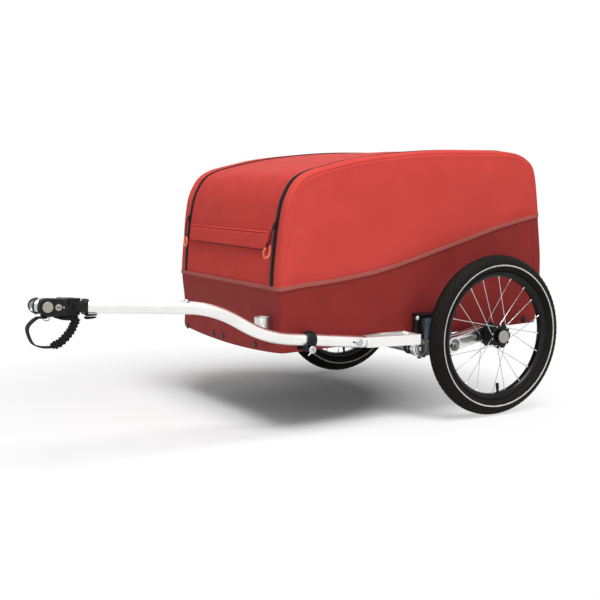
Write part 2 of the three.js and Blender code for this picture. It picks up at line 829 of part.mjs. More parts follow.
function pinHole() {
  return prism(circle(pinRadius + seatGap, pinPlace.x, pinPlace.z), 'y',
    drawbarAside - 2 * drawbarRadius, drawbarAside + 2 * drawbarRadius, 5);
}

function drawbarTube() {
  const bar = sweep(circle(drawbarRadius), drawbarPath(), 26, 6);
  const bore = drawbarRadius - drawbarWall;
  const rearBore = tipped(prism(circle(bore), 'x', -overrun, spigotLength + overrun, 6),
    lowSlope, drawbarStart);
  const frontBore = tipped(prism(circle(bore), 'x', -knuckleSpigot - overrun, overrun, 6),
    topSlope, drawbarEnd);
  return geometryOf(bar.subtract(rearBore).subtract(frontBore).subtract(pinHole()));
}

function lockingPin() {
  const faceY = drawbarAside + drawbarRadius + seatGap;
  const shaft = prism(circle(pinRadius, 0, 0), 'y',
    drawbarAside - drawbarRadius - pinTip, faceY + pinHeadThickness / 2, 5);
  const head = prism(circle(pinHeadRadius, 0, 0), 'y', faceY, faceY + pinHeadThickness, 8);
  return geometryOf(joined(shaft, head));
}

// Outrigger: an open loop of flat bar that carries the drawbar's rear end on a spigot

function outrigger() {
  const noseIn = drawbarAside - outriggerNose / 2;
  const noseOut = drawbarAside + outriggerNose / 2;
  const wall = outriggerWall;
  const outline = polygon([
    [outriggerBack, fabricSide], [outriggerKnee, fabricSide], [outriggerFront, noseIn],
    [outriggerFront, noseOut], [outriggerBack, fabricSide + outriggerReach],
  ]);
  outline.holes.push(polygon([
    [outriggerBack + wall, fabricSide + wall], [outriggerKnee - wall / 2, fabricSide + wall],
    [outriggerFront - wall, noseIn + wall], [outriggerFront - wall, noseOut - wall],
    [outriggerBack + wall, fabricSide + outriggerReach - wall],
  ]));
  const bottom = outriggerMiddle - outriggerHeight / 2;
  const loop = prism(outline, 'z', bottom, bottom + outriggerHeight);
  const root = towards(drawbarStart, lowCorner, outriggerFront - wall / 2 - drawbarRear);
  const spigot = tipped(prism(circle(spigotRadius), 'x', 0, spigotLength, 6), lowSlope, root);
  return geometryOf(joined(loop, spigot).subtract(pinHole()));
}

const clampCentre = drawbarStart.clone().lerp(
  lowCorner, (clampPlace - drawbarRear) / drawbarLowRun,
);

// The clamp: a ring round the tube, a foot on the frame and a lug for the knob's bolt.
function drawbarClamp() {
  const half = clampWidth / 2;
  const ringRadius = drawbarRadius + seatGap + clampWall;
  const footY = fabricSide - drawbarAside;
  const ring = prism(circle(ringRadius), 'x', -half, half, 8);
  const lugTopZ = -drawbarRadius;
  const lug = block(-half, half, footY, clampLugNear, -ringRadius - clampLugHeight / 2, lugTopZ);
  const foot = block(
    -half, half, footY, footY + clampFootThickness,
    -ringRadius - clampLugHeight / 2, -ringRadius - clampLugHeight / 2 + clampFootHeight,
  );
  const web = block(-half, half, footY, 0, lugTopZ, 0);
  const bore = prism(circle(drawbarRadius + seatGap), 'x', -half - overrun, half + overrun, 8);
  const boltHole = prism(circle(knobShaftRadius + seatGap, 0, -knobDrop), 'y',
    footY + clampFootThickness, clampLugNear + overrun, 4);
  const clamp = joined(ring, lug, foot, web).subtract(bore).subtract(boltHole);
  return geometryOf(tipped(clamp, lowSlope, clampCentre));
}

function clampKnob() {
  const shaft = prism(circle(knobShaftRadius, 0, 0), 'y',
    -drawbarRadius, clampLugNear + knobThickness, 4);
  const face = clampLugNear + seatGap;
  const head = prism(circle(knobRadius, 0, 0), 'y', face, face + knobThickness, 8);
  const slot = block(-knobRadius - overrun, knobRadius + overrun,
    face + knobThickness / 2, face + knobThickness + overrun,
    -knobSlotWidth / 2, knobSlotWidth / 2);
  return geometryOf(joined(shaft, head).subtract(slot));
}

// Front socket: the upright tube that takes a front wheel's stem

function frontSocket() {
  const ring = circle(socketOuterRadius, socketForward, socketAside);
  ring.holes.push(circle(socketOuterRadius - socketWall, socketForward, socketAside));
  const tube = prism(ring, 'z', socketBottom, socketTop, 10);
  const lug = block(
    railFront + seatGap, socketForward - socketOuterRadius + socketWall / 2,
    socketAside - socketLugWidth / 2, socketAside + socketLugWidth / 2,
    socketBottom, lugTop,
  );
  return geometryOf(joined(tube, lug));
}

// Hitch, made along X from the drawbar's end

const jointX = knuckleReach;
const jawHalf = jawOpening / 2;

function drawbarKnuckle() {
  const spigot = prism(circle(drawbarRadius - drawbarWall - seatGap), 'x',
    -knuckleSpigot, seatGap + knuckleWeb / 2, 6);
  const web = prism(polygon([
    [-knuckleHalfWidth, -knuckleHalfHeight], [knuckleHalfWidth, -knuckleHalfHeight],
    [knuckleHalfWidth, knuckleHalfHeight], [-knuckleHalfWidth, knuckleHalfHeight],
  ]), 'x', seatGap, seatGap + knuckleWeb);
  const cheek = new THREE.Shape();
  cheek.moveTo(seatGap + knuckleWeb / 2, -knuckleHalfHeight);
  cheek.lineTo(jointX, -knuckleCheekRadius);
  cheek.absarc(jointX, 0, knuckleCheekRadius, -Math.PI / 2, Math.PI / 2);
  cheek.lineTo(seatGap + knuckleWeb / 2, knuckleHalfHeight);
  cheek.holes.push(circle(swivelPinRadius + seatGap, jointX, 0));
  const inner = knuckleHalfWidth - knuckleCheekThickness;
  return geometryOf(joined(
    spigot, web,
    prism(cheek, 'y', inner, knuckleHalfWidth, 5),
    prism(cheek, 'y', -knuckleHalfWidth, -inner, 5),
  ));
}

function swivelBlock() {
  const cube = block(
    -swivelHalfLength, swivelHalfLength, -swivelHalf, swivelHalf,
    -jawHalf + seatGap, jawHalf - seatGap,
  );
  const crossBore = prism(circle(swivelPinRadius + seatGap), 'y', -overrun, overrun, 5);
  const uprightBore = prism(circle(swivelPinRadius + seatGap), 'z', -overrun, overrun, 5);
  return geometryOf(cube.subtract(crossBore).subtract(uprightBore));
}

// One pin runs right across; the upright one is in two halves in the real joint,
// so here it is a short stud from the top jaw and the cross pin keeps clear of it.
function crossPin() {
  return geometryOf(prism(circle(swivelPinRadius), 'y', -knuckleHalfWidth, knuckleHalfWidth, 5));
}

function yawStud() {
  const bottom = swivelPinRadius + seatGap;
  return geometryOf(prism(circle(swivelPinRadius), 'z', bottom, jawHalf + jawThickness, 5));
}

const webBack = jointX + jawWebFront;
const webFrontX = webBack + jawWebThickness;
const plateFront = webFrontX + housingLength;

// Jaws, web and near side plate cast in one piece, cradling the socket tube.
function hitchHousing() {
  const jawOuter = jawHalf + jawThickness;
  const jaw = new THREE.Shape();
  jaw.absarc(jointX - jawRearReach + jawHalfWidth, 0, jawHalfWidth, Math.PI / 2, 3 * Math.PI / 2);
  jaw.lineTo(webFrontX, -jawHalfWidth);
  jaw.lineTo(webFrontX, jawHalfWidth);
  const yawHole = circle(swivelPinRadius + seatGap, jointX, 0);
  jaw.holes.push(yawHole);
  const topJaw = prism(jaw, 'z', jawHalf, jawOuter, 5);
  const lowJaw = prism(jaw, 'z', -jawOuter, -jawHalf, 5);
  const web = block(webBack, webFrontX, -jawOuter, jawOuter, -hitchHalfHeight, hitchHalfHeight);
  const radius = hitchHalfHeight;
  const plateShape = stadium(webBack + radius, 0, plateFront - radius, 0, radius);
  const plate = prism(plateShape, 'y', housingInner, housingNear, 8);
  const cradle = prism(circle(socketTubeRadius + seatGap), 'x', webFrontX, plateFront + overrun, 10);
  const buttonWell = prism(circle(hitchButtonRadius + seatGap, plateFront - hitchButtonBack, 0),
    'y', housingNear - hitchButtonDepth, housingNear + overrun, 8);
  const lockWell = prism(
    circle(keyLockRadius + seatGap, plateFront - hitchButtonBack - keyLockSpacing, 0),
    'y', housingNear - hitchButtonDepth, housingNear + overrun, 8);
  return geometryOf(
    joined(topJaw, lowJaw, web, plate).subtract(cradle).subtract(buttonWell).subtract(lockWell),
  );
}

function hitchSocket() {
  const ring = circle(socketTubeRadius);
  ring.holes.push(circle(socketTubeBore));
  const start = webFrontX + seatGap;
  const wall = prism(ring, 'x', start, start + socketTubeLength, 10);
  const back = prism(circle(socketTubeRadius), 'x', start, start + socketTubeFloor, 10);
  return geometryOf(joined(wall, back));
}

function mouthRing() {
  const ring = circle(socketTubeRadius + mouthRingProud);
  ring.holes.push(circle(socketTubeBore));
  const start = webFrontX + 2 * seatGap + socketTubeLength;
  return geometryOf(prism(ring, 'x', start, start + mouthRingLength, 10));
}

function hitchButton() {
  const back = housingNear - hitchButtonDepth / 2;
  return geometryOf(prism(circle(hitchButtonRadius), 'y', back, housingNear + hitchButtonProud, 10));
}

function keyLock() {
  const back = housingNear - hitchButtonDepth + seatGap;
  const face = housingNear + seatGap;
  const barrel = prism(circle(keyLockRadius), 'y', back, face, 8);
  const slot = block(-keySlotLength / 2, keySlotLength / 2, face - keySlotWidth, face + overrun,
    -keySlotWidth / 2, keySlotWidth / 2);
  return geometryOf(barrel.subtract(slot));
}

const strapTop = -hitchHalfHeight - seatGap;
const strapSeat = strapTop - tailThickness - seatGap;

// The safety strap's loop: flat webbing ahead and below, gathered and thick at the back.
// Both ends are cut level, where they are sewn under the strap's tail.
function safetyStrap() {
  const front = plateFront - strapThickness;
  const anchor = strapSeat - strapThickness / 2;
  const route = (shares) => new THREE.CatmullRomCurve3(shares.map(([x, z]) => (
    new THREE.Vector3(front + x * strapLoopLength, 0, anchor + z * strapLoopDrop)
  )));
  const band = (thickness) => polygon([
    [-strapWidth / 2, -thickness / 2], [strapWidth / 2, -thickness / 2],
    [strapWidth / 2, thickness / 2], [-strapWidth / 2, thickness / 2],
  ]);
  const above = block(
    front - strapLoopLength - overrun, front, -strapWidth, strapWidth, strapSeat, overrun,
  );
  return geometryOf(joined(
    sweep(band(strapThickness), route(strapThinShares), 20, 1),
    sweep(band(strapGatherThickness), route(strapGatherShares), 10, 1),
  ).subtract(above));
}

function strapTail() {
  const front = plateFront - tailBack;
  return geometryOf(block(
    front - tailLength, front, -strapWidth / 2, strapWidth / 2, strapTop - tailThickness, strapTop,
  ));
}

// Assembly

const trailer = new THREE.Group();

function material(color, roughness, metalness) {
  return new THREE.MeshStandardMaterial({ color, roughness, metalness });
}

const finish = {
  upper: () => material(paint.upperRed, 0.85, 0),
  front: () => material(paint.frontRed, 0.85, 0),
  lower: () => material(paint.lowerRed, 0.85, 0),
  band: () => material(paint.band, 0.7, 0),
  black: () => material(paint.black, 0.5, 0),
  web: () => material(paint.web, 0.8, 0),
  tyre: () => material(paint.tyre, 0.8, 0),
  pad: () => material(paint.pad, 0.6, 0),
  orange: () => material(paint.orange, 0.7, 0),
  floor: () => material(paint.floor, 0.7, 0),
  button: () => material(paint.button, 0.5, 0.6),
  silver: () => material(paint.silver, 0.35, 0.9),
  steel: () => material(paint.steel, 0.3, 1),
};

function add(parent, name, geometry, look, position = [0, 0, 0]) {
  const mesh = new THREE.Mesh(geometry, finish[look]());
  mesh.name = name;
  mesh.position.set(...position);
  parent.add(mesh);
  return mesh;
}

// Pieces made for the left side, and their mirror images for the right.
function pair(parent, name, geometry, look) {
  add(parent, `left_${name}`, geometry, look);
  add(parent, `right_${name}`, mirrored(geometry), look);
}

for (const [side, y] of [['left', wheelPlane], ['right', -wheelPlane]]) {
  const wheel = new THREE.Group();
  wheel.position.set(0, y, wheelRadius);
  add(wheel, `${side}_tyre`, tyre(), 'tyre');
  add(wheel, `${side}_rim`, rimWithSpokes(), 'black');
  add(wheel, `${side}_hub`, hub(), 'black');
  trailer.add(wheel);
}

const running = new THREE.Group();
pair(running, 'swing_arm', swingArm(), 'silver');
pair(running, 'pad', suspensionPad(), 'pad');
pair(running, 'pad_bracket', padBracket(), 'black');
add(running, 'cross_tube', crossTube(), 'silver');
trailer.add(running);

const axles = new THREE.Group();
axles.position.z = wheelRadius;
pair(axles, 'axle', axle(), 'steel');
pair(axles, 'release_button', releaseButton(), 'button');
trailer.add(axles);

const frame = new THREE.Group();
pair(frame, 'side_rail', sideRail(), 'silver');
add(frame, 'front_cross_member', crossMember(railFront - railWidth), 'silver');
add(frame, 'rear_cross_member', crossMember(-floorRear), 'silver');
add(frame, 'floor_panel', floorPanel(), 'floor');
pair(frame, 'hoop', hoop(), 'silver');
add(frame, 'front_stay', stay(stayFrontShare), 'silver');
add(frame, 'rear_stay', stay(stayRearShare), 'silver');
add(frame, 'outrigger', outrigger(), 'silver');
add(frame, 'drawbar_clamp', drawbarClamp(), 'black');
add(frame, 'clamp_knob', clampKnob(), 'steel', [
  clampCentre.x + knobDrop * Math.sin(lowSlope), drawbarAside,
  clampCentre.z - knobDrop * Math.cos(lowSlope),
]);
add(frame, 'front_socket', frontSocket(), 'silver');
trailer.add(frame);

const cover = new THREE.Group();
add(cover, 'lower_front_panel', lowerFrontPanel(), 'lower');
pair(cover, 'lower_side_panel', lowerSidePanel(), 'lower');
add(cover, 'lower_rear_panel', lowerRearPanel(), 'lower');
pair(cover, 'upper_side_panel', sidePanel(), 'upper');
add(cover, 'upper_rear_panel', rearUpperPanel(), 'upper');
add(cover, 'lid', lidPanel(), 'front');
add(cover, 'trim_band', trimBand(), 'band');
pair(cover, 'zip', zipTape(), 'web');
add(cover, 'handle_flap', handleFlap(), 'front');
trailer.add(cover);

for (const [side, y] of [['left', zipPlace], ['right', -zipPlace]]) {
  const slider = new THREE.Group();
  slider.position.set(sliderFace.x, y, sliderHeight);
  slider.rotation.y = -sliderFace.lean;
  add(slider, `${side}_slider`, sliderBody(), 'black');
  add(slider, `${side}_pull`, pullLoop(), 'orange');
  trailer.add(slider);
}

const drawbar = new THREE.Group();
add(drawbar, 'drawbar', drawbarTube(), 'silver');
add(drawbar, 'locking_pin', lockingPin(), 'steel', [pinPlace.x, 0, pinPlace.z]);
trailer.add(drawbar);

const hitch = new THREE.Group();
hitch.position.copy(drawbarEnd);
hitch.rotation.y = -topSlope;
add(hitch, 'drawbar_knuckle', drawbarKnuckle(), 'black');
add(hitch, 'swivel_block', swivelBlock(), 'steel', [jointX, 0, 0]);
add(hitch, 'cross_pin', crossPin(), 'steel', [jointX, 0, 0]);
add(hitch, 'yaw_stud', yawStud(), 'steel', [jointX, 0, 0]);
add(hitch, 'hitch_housing', hitchHousing(), 'black');
add(hitch, 'hitch_socket', hitchSocket(), 'silver');
add(hitch, 'mouth_ring', mouthRing(), 'black');
add(hitch, 'hitch_button', hitchButton(), 'button', [plateFront - hitchButtonBack, 0, 0]);
add(hitch, 'key_lock', keyLock(), 'steel', [
  plateFront - hitchButtonBack - keyLockSpacing, 0, 0,
]);
add(hitch, 'safety_strap', safetyStrap(), 'web');
add(hitch, 'strap_tail', strapTail(), 'web');
trailer.add(hitch);

// The origin goes under the middle of the trailer's length.
const reach = new THREE.Box3().setFromObject(trailer, true);
trailer.position.x = -(reach.min.x + reach.max.x) / 2;

export default trailer;
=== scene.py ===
# %% [markdown]
# # Bicycle cargo trailer
#
# This notebook dresses a cargo trailer: a zipped cloth box on an aluminium frame, two spoked
# wheels on sprung swing arms, and a drawbar with a quick hitch. The CAD model is loaded first
# and stays fixed. Every piece made here rides on one of its bodies, so that it moves with it.

# %% Load the frame
import math

import bmesh
import bpy
import numpy as np
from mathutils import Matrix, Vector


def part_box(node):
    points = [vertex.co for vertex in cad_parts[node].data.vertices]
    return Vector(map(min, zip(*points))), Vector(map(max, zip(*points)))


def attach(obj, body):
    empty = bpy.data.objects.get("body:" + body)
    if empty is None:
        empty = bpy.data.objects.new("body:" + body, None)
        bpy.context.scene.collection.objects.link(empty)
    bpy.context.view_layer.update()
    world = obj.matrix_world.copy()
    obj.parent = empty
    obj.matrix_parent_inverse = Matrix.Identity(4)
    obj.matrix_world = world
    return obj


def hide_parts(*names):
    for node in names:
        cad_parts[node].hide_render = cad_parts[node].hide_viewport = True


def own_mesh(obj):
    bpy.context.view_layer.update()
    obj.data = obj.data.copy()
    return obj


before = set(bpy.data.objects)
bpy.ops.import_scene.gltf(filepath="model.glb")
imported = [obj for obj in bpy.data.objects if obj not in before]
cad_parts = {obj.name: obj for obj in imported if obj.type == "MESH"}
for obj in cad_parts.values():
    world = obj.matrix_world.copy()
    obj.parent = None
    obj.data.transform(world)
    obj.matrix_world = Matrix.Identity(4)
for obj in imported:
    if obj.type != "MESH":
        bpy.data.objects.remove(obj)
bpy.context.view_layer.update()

# %% [markdown]
# ## Units and origin
#
# The drawings measure in millimetres from the wheels' axle line, because every piece of the real
# trailer was placed from it. The model's own origin is under the middle of its length, so one
# function turns drawing millimetres into model metres.

# %% From drawing millimetres to model metres
MM = 0.001
tyre_low, tyre_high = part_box("left_tyre")
AXLE = np.array([(tyre_low.x + tyre_high.x) / 2, 0.0, 0.0])


def metres(points):
    """Millimetres from the axle line, times a thousandth, plus the axle's place."""
    return np.asarray(points, float) * MM + AXLE


def unit(vectors):
    """Each vector divided by its length."""
    vectors = np.asarray(vectors, float)
    return vectors / (np.linalg.norm(vectors, axis=-1, keepdims=True) + 1e-12)


print("the axle line stands at x =", round(float(AXLE[0]), 5), "m")

# %% [markdown]
# ## Surfaces on a grid
#
# Most shapes below are a function of two parameters, worked out for a whole grid at once. The
# grid becomes four-sided faces, and its pattern coordinates are the real distances along its
# rows and columns in metres, so a weave drawn on it has its real size everywhere.

# %% Grid, merge and mesh
CREASE = 38


def grid(points, wrap_rows=False, wrap_columns=False, pattern=None):
    """Quads over points[row, column]. A wrapped side joins its last line to its first.
    Pattern coordinates are the mean distance walked along rows and columns, in metres."""
    rows, columns = points.shape[:2]
    row = np.arange(rows if wrap_rows else rows - 1)
    column = np.arange(columns if wrap_columns else columns - 1)
    row, column = (a.ravel() for a in np.meshgrid(row, column, indexing="ij"))
    turn = [(0, 0), (1, 0), (1, 1), (0, 1)]
    faces = np.stack([(row + a) % rows * columns + (column + b) % columns for a, b in turn], 1)
    if pattern is not None:
        flat = pattern.reshape(-1, 2)
        return points.reshape(-1, 3), faces, flat[faces]
    along = np.linalg.norm(np.roll(points, -1, 0) - points, axis=2).mean(1)
    across = np.linalg.norm(np.roll(points, -1, 1) - points, axis=2).mean(0)
    u = np.concatenate([[0], np.cumsum(along)]) * MM
    v = np.concatenate([[0], np.cumsum(across)]) * MM
    u_corner = np.stack([u[row + a] for a, b in turn], 1)
    v_corner = np.stack([v[column + b] for a, b in turn], 1)
    return points.reshape(-1, 3), faces, np.stack([u_corner, v_corner], 2)


def joined(parts):
    """Several grids as one: their points in a row, their faces counted on."""
    start = np.cumsum([0] + [len(p[0]) for p in parts])
    points = np.concatenate([p[0] for p in parts])
    faces = np.concatenate([p[1] + n for p, n in zip(parts, start)])
    return points, faces, np.concatenate([p[2] for p in parts])


def mesh_of(name, part, closed=True, crease=CREASE):
    """A mesh from one grid, made tidy."""
    points, faces, pattern = part
    mesh = bpy.data.meshes.new(name)
    mesh.vertices.add(len(points))
    mesh.vertices.foreach_set("co", metres(points).astype(np.float32).ravel())
    mesh.loops.add(faces.size)
    mesh.loops.foreach_set("vertex_index", faces.astype(np.int32).ravel())
    mesh.polygons.add(len(faces))
    mesh.polygons.foreach_set("loop_start", np.arange(0, faces.size, 4, dtype=np.int32))
    mesh.update(calc_edges=True)
    layer = mesh.uv_layers.new(name="pattern")
    layer.uv.foreach_set("vector", pattern.astype(np.float32).ravel())
    tidy(mesh, closed, crease)
    return mesh


def tidy(mesh, closed=True, crease=CREASE):
    """Points closer than 5 micrometres are merged, faces without area dropped, and a closed
    shell's faces turned outwards. Only edges sharper than crease degrees stay sharp."""
    work = bmesh.new()
    work.from_mesh(mesh)
    bmesh.ops.remove_doubles(work, verts=work.verts, dist=5e-6)
    bmesh.ops.dissolve_degenerate(work, edges=work.edges, dist=1e-7)
    if closed:
        bmesh.ops.recalc_face_normals(work, faces=work.faces)
    work.to_mesh(mesh)
    work.free()
    mesh.polygons.foreach_set("use_smooth", np.ones(len(mesh.polygons), bool))
    mesh.set_sharp_from_angle(angle=math.radians(crease))


def move_points(mesh, change):
    """Puts a mesh's points where a function sends them."""
    flat = np.empty(len(mesh.vertices) * 3)
    mesh.vertices.foreach_get("co", flat)
    mesh.vertices.foreach_set("co", change(flat.reshape(-1, 3)).ravel())


# %% Hang a piece on the frame
def piece(name, part, material, body, slot, replaces=(), closed=True, crease=CREASE):
    """One object from a grid or a list of grids, with its material, riding on a CAD body."""
    if isinstance(part, list):
        part = joined(part)
    mesh = part
    if not isinstance(part, bpy.types.Mesh):
        mesh = mesh_of(name, part, closed, crease)
    mesh.materials.clear()
    mesh.materials.append(material)
    made = bpy.data.objects.new(name, mesh)
    bpy.context.scene.collection.objects.link(made)
    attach(made, body)
    for node in replaces:
        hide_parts(node)
    return made


def mirrored(part):
    """The same grid on the other side: y changes sign, and each face is walked backwards. A
    mesh is copied, and its copy's faces are turned back outwards."""
    if isinstance(part, bpy.types.Mesh):
        copy = part.copy()
        copy.name = part.name.replace("left", "right")
        move_points(copy, lambda points: points * [1, -1, 1])
        tidy(copy)
        return copy
    points, faces, pattern = part
    return points * [1, -1, 1], faces[:, ::-1], pattern[:, ::-1]


def looking_away(part, centre):
    """A sheet whose faces look away from a centre: where the sum of normal times distance is
    negative, each face is walked backwards."""
    points, faces, pattern = part
    a, b, c, d = (points[faces[:, k]] for k in range(4))
    normal = np.cross(c - a, d - b)
    if (normal * ((a + b + c + d) / 4 - centre)).sum() < 0:
        return points, faces[:, ::-1], pattern[:, ::-1]
    return part


def both_sides(name, part, material, body, slot, replaces=(), make=piece):
    """A left piece and its mirror image. An @ in a name stands for left or right."""
    if isinstance(part, list):
        part = joined(part)
    made = []
    for side, shape in (("left", part), ("right", mirrored(part))):
        nodes = [n.replace("@", side) for n in replaces]
        made.append(make(name.replace("@", side), shape, material, body.replace("@", side),
                         slot, nodes))
    return made


# %% [markdown]
# ## Tubes, turned parts and plates
#
# A tube is a ring carried along a path. A turned part, such as a hub, is an outline that goes
# round an axis. A flat part with holes is drawn as a flat curve, because a curve fills its own
# holes, and is then given its thickness and a small rounded edge.

# %% Rings along a path, outlines round an axis, and flat plates
def spline(knots, count):
    """A smooth line through knots (Catmull-Rom), then points at even distances on it."""
    knots = np.asarray(knots, float)
    padded = np.concatenate([knots[:1], knots, knots[-1:]])
    t = np.linspace(0, len(knots) - 1, 40 * len(knots))
    i = np.minimum(t.astype(int), len(knots) - 2)
    f = (t - i)[:, None]
    p0, p1, p2, p3 = (padded[i + k] for k in range(4))
    v0 = (p2 - p0) / 2
    v1 = (p3 - p1) / 2
    line = ((2 * p1 - 2 * p2 + v0 + v1) * f ** 3 + (-3 * p1 + 3 * p2 - 2 * v0 - v1) * f ** 2
            + v0 * f + p1)
    return even(line, count)


def distances(line):
    """How far each point of a line lies from its start, walked along the line."""
    return np.concatenate([[0], np.cumsum(np.linalg.norm(np.diff(line, axis=0), axis=1))])


def read_off(at, known, values):
    """Each column of values read off at new places, straight between the known ones."""
    return np.stack([np.interp(at, known, column) for column in np.asarray(values).T], -1)


def even(line, count):
    """The same line with count points at even distances."""
    run = distances(line)
    return read_off(np.linspace(0, run[-1], count), run, line)


def ahead(path, wrap=False):
    """The way on from each point of a path. A wrapped path goes on from its end to its start."""
    return np.roll(path, -1, 0) - np.roll(path, 1, 0) if wrap else np.gradient(path, axis=0)


def sweep(path, ring, binormal=(0, 1, 0), grow=None, wrap=False):
    """A ring of (side, up) offsets carried along a path: point = path + side * binormal
    + up * (binormal x tangent). grow scales each ring, and a 0 at an end closes it."""
    path = np.asarray(path, float)
    ring = np.asarray(ring, float)
    tangent = unit(ahead(path, wrap))
    side = np.broadcast_to(np.asarray(binormal, float), path.shape)
    side = unit(side - (side * tangent).sum(1)[:, None] * tangent)
    up = np.cross(side, tangent)
    grow = np.ones(len(path)) if grow is None else np.asarray(grow, float)
    grow = grow.reshape(len(path), -1)
    a = ring[None, :, 0] * grow[:, :1]
    b = ring[None, :, 1] * grow[:, -1:]
    points = path[:, None] + a[..., None] * side[:, None] + b[..., None] * up[:, None]
    return grid(points, wrap_rows=wrap, wrap_columns=True)


def circle(radius, count=20, centre=(0, 0)):
    """Points round a circle, as (side, up) of a path or as (x, z) of a plate."""
    turn = np.arange(count) * 2 * math.pi / count
    return np.asarray(centre, float) + radius * np.stack([np.cos(turn), np.sin(turn)], 1)


def arc(centre, radius, start, stop, count=14):
    """Points of a circle from one angle to another, in degrees, as (x, z)."""
    turn = np.radians(np.linspace(start, stop, count))
    return np.asarray(centre, float) + radius * np.stack([np.cos(turn), np.sin(turn)], 1)


def round_box(width, height, radius, steps=3):
    """A rectangle with rounded corners, as (side, up): corner centre plus radius times an angle."""
    turn = np.linspace(0, math.pi / 2, steps + 1)
    corners = []
    for k, (sx, sy) in enumerate([(1, 1), (-1, 1), (-1, -1), (1, -1)]):
        angle = turn + k * math.pi / 2
        centre = np.array([sx * (width / 2 - radius), sy * (height / 2 - radius)])
        corners.append(centre + radius * np.stack([np.cos(angle), np.sin(angle)], 1))
    return np.concatenate(corners)


def capped(path, ring, radius, binormal=(0, 1, 0), edge=1.0):
    """A swept ring with closed and rounded ends. Each end has points 0, 0.3 and 1 times edge
    inside it, where the ring is edge smaller, 0.3 times edge smaller and full. radius is the
    ring's smallest half width, which says how much one millimetre shrinks it."""
    path = np.asarray(path, float)
    inwards = np.array([-1e-4, 0, 0.3 * edge, edge])[:, None]
    start = path[0] + inwards * unit(path[1] - path[0])
    end = path[-1] + inwards * unit(path[-2] - path[-1])
    long_path = np.concatenate([start, path[1:-1], end[::-1]])
    grow = np.ones(len(long_path))
    grow[:3] = [0, 1 - edge / radius, 1 - 0.3 * edge / radius]
    grow[-3:] = grow[2::-1]
    return sweep(long_path, ring, binormal, grow)


def turned(outline, origin, axis=(0, 1, 0), count=48):
    """An outline of (radius, along) carried round an axis through origin. One that starts on the
    axis ends there too. Any other is a section, whose last point is joined to its first."""
    outline = np.asarray(outline, float)
    axis = unit(axis)
    first = unit(np.cross(axis, (1, 0, 0) if abs(axis[0]) < 0.9 else (0, 0, 1)))
    second = np.cross(axis, first)
    turn = np.arange(count) * 2 * math.pi / count
    spoke = np.cos(turn)[:, None] * first + np.sin(turn)[:, None] * second
    points = (np.asarray(origin, float) + outline[None, :, :1] * spoke[:, None]
              + outline[None, :, 1:] * axis)
    return grid(points, wrap_rows=True, wrap_columns=outline[0, 0] > 0)


def softened(corners, radius, steps=3):
    """An open outline with its inner corners rounded: each corner becomes a short bend from
    radius before it to radius after it (a parabola through the two)."""
    corners = np.asarray(corners, float)
    t = np.linspace(0, 1, steps + 1)[:, None]
    line = [corners[:1]]
    for before, corner, after in zip(corners[:-2], corners[1:-1], corners[2:]):
        a, b = before - corner, after - corner
        reach = min(radius, np.linalg.norm(a) / 2.05, np.linalg.norm(b) / 2.05)
        start = corner + unit(a) * reach
        end = corner + unit(b) * reach
        line.append((1 - t) ** 2 * start + 2 * t * (1 - t) * corner + t ** 2 * end)
    return np.concatenate(line + [corners[-1:]])


def lathe(corners, soft, origin, axis=(0, 1, 0), count=48):
    """A turned part whose outline is given by its corners, each rounded by soft. An outline that
    comes back to its first corner is a closed section."""
    line = softened(corners, soft, 2)
    if corners[0] == corners[-1]:
        line = line[:-1]
    return turned(line, origin, axis, count)


def plate(name, outlines, low, high, edge=0.8, place=None):
    """A flat part with holes: closed (x, z) lines, thick from y = low to high, edges rounded by
    edge. place turns its (x, y, z) points before they are set down."""
    curve = bpy.data.curves.new(name, "CURVE")
    curve.dimensions = "2D"
    curve.fill_mode = "BOTH"
    curve.extrude = (high - low) / 2 - edge
    curve.bevel_depth = edge
    curve.bevel_resolution = 1
    curve.offset = -edge
    for line in outlines:
        points = curve.splines.new("POLY")
        points.points.add(len(line) - 1)
        full = np.concatenate([line, np.zeros((len(line), 1)), np.ones((len(line), 1))], 1)
        points.points.foreach_set("co", full.ravel())
        points.use_cyclic_u = True
    holder = bpy.data.objects.new(name, curve)
    bpy.context.scene.collection.objects.link(holder)
    ready = holder.evaluated_get(bpy.context.evaluated_depsgraph_get())
    mesh = bpy.data.meshes.new_from_object(ready)
    bpy.data.objects.remove(holder)
    bpy.data.curves.remove(curve)

    def set_down(flat):
        """The curve's height is the drawing's z, and its thickness lies along y."""
        points = flat[:, [0, 2, 1]] + [0, (low + high) / 2, 0]
        return metres(points if place is None else place(points))

    move_points(mesh, set_down)
    tidy(mesh)
    return mesh


# %% [markdown]
# ## Materials
#
# Each finish starts from what the real part is made of. A metal or a plastic carries its pattern
# on its own coordinates. Cloth carries it on the distances that the grid measured, so the threads
# follow the sheet. Small functions add the noises, bands, ramps and reliefs that finishes share.

# %% Colour and nodes
def ink(code):
    """An sRGB hex colour as linear light: c / 12.92 below 0.04045, else ((c + 0.055) / 1.055)
    to the power 2.4."""
    c = np.array([int(code[k:k + 2], 16) for k in (1, 3, 5)]) / 255
    c = np.where(c <= 0.04045, c / 12.92, ((c + 0.055) / 1.055) ** 2.4)
    return (*c.tolist(), 1.0)


def node(material, kind, inputs=None, **fields):
    """Adds one node. A socket given as an input becomes a link, anything else its value."""
    tree = material.node_tree
    made = tree.nodes.new(kind)
    for field, value in fields.items():
        setattr(made, field, value)
    for key, value in (inputs or {}).items():
        if isinstance(value, bpy.types.NodeSocket):
            tree.links.new(value, made.inputs[key])
        else:
            made.inputs[key].default_value = value
    return made


def finish(name, **values):
    """A new material with a Principled shader, whose plain values are set on its own sockets."""
    material = bpy.data.materials.new(name)
    material.use_nodes = True
    shader = material.node_tree.nodes["Principled BSDF"]
    for key, value in values.items():
        shader.inputs[key.replace("_", " ")].default_value = value
    material.diffuse_color = values.get("Base_Color", (0.5, 0.5, 0.5, 1))
    return material


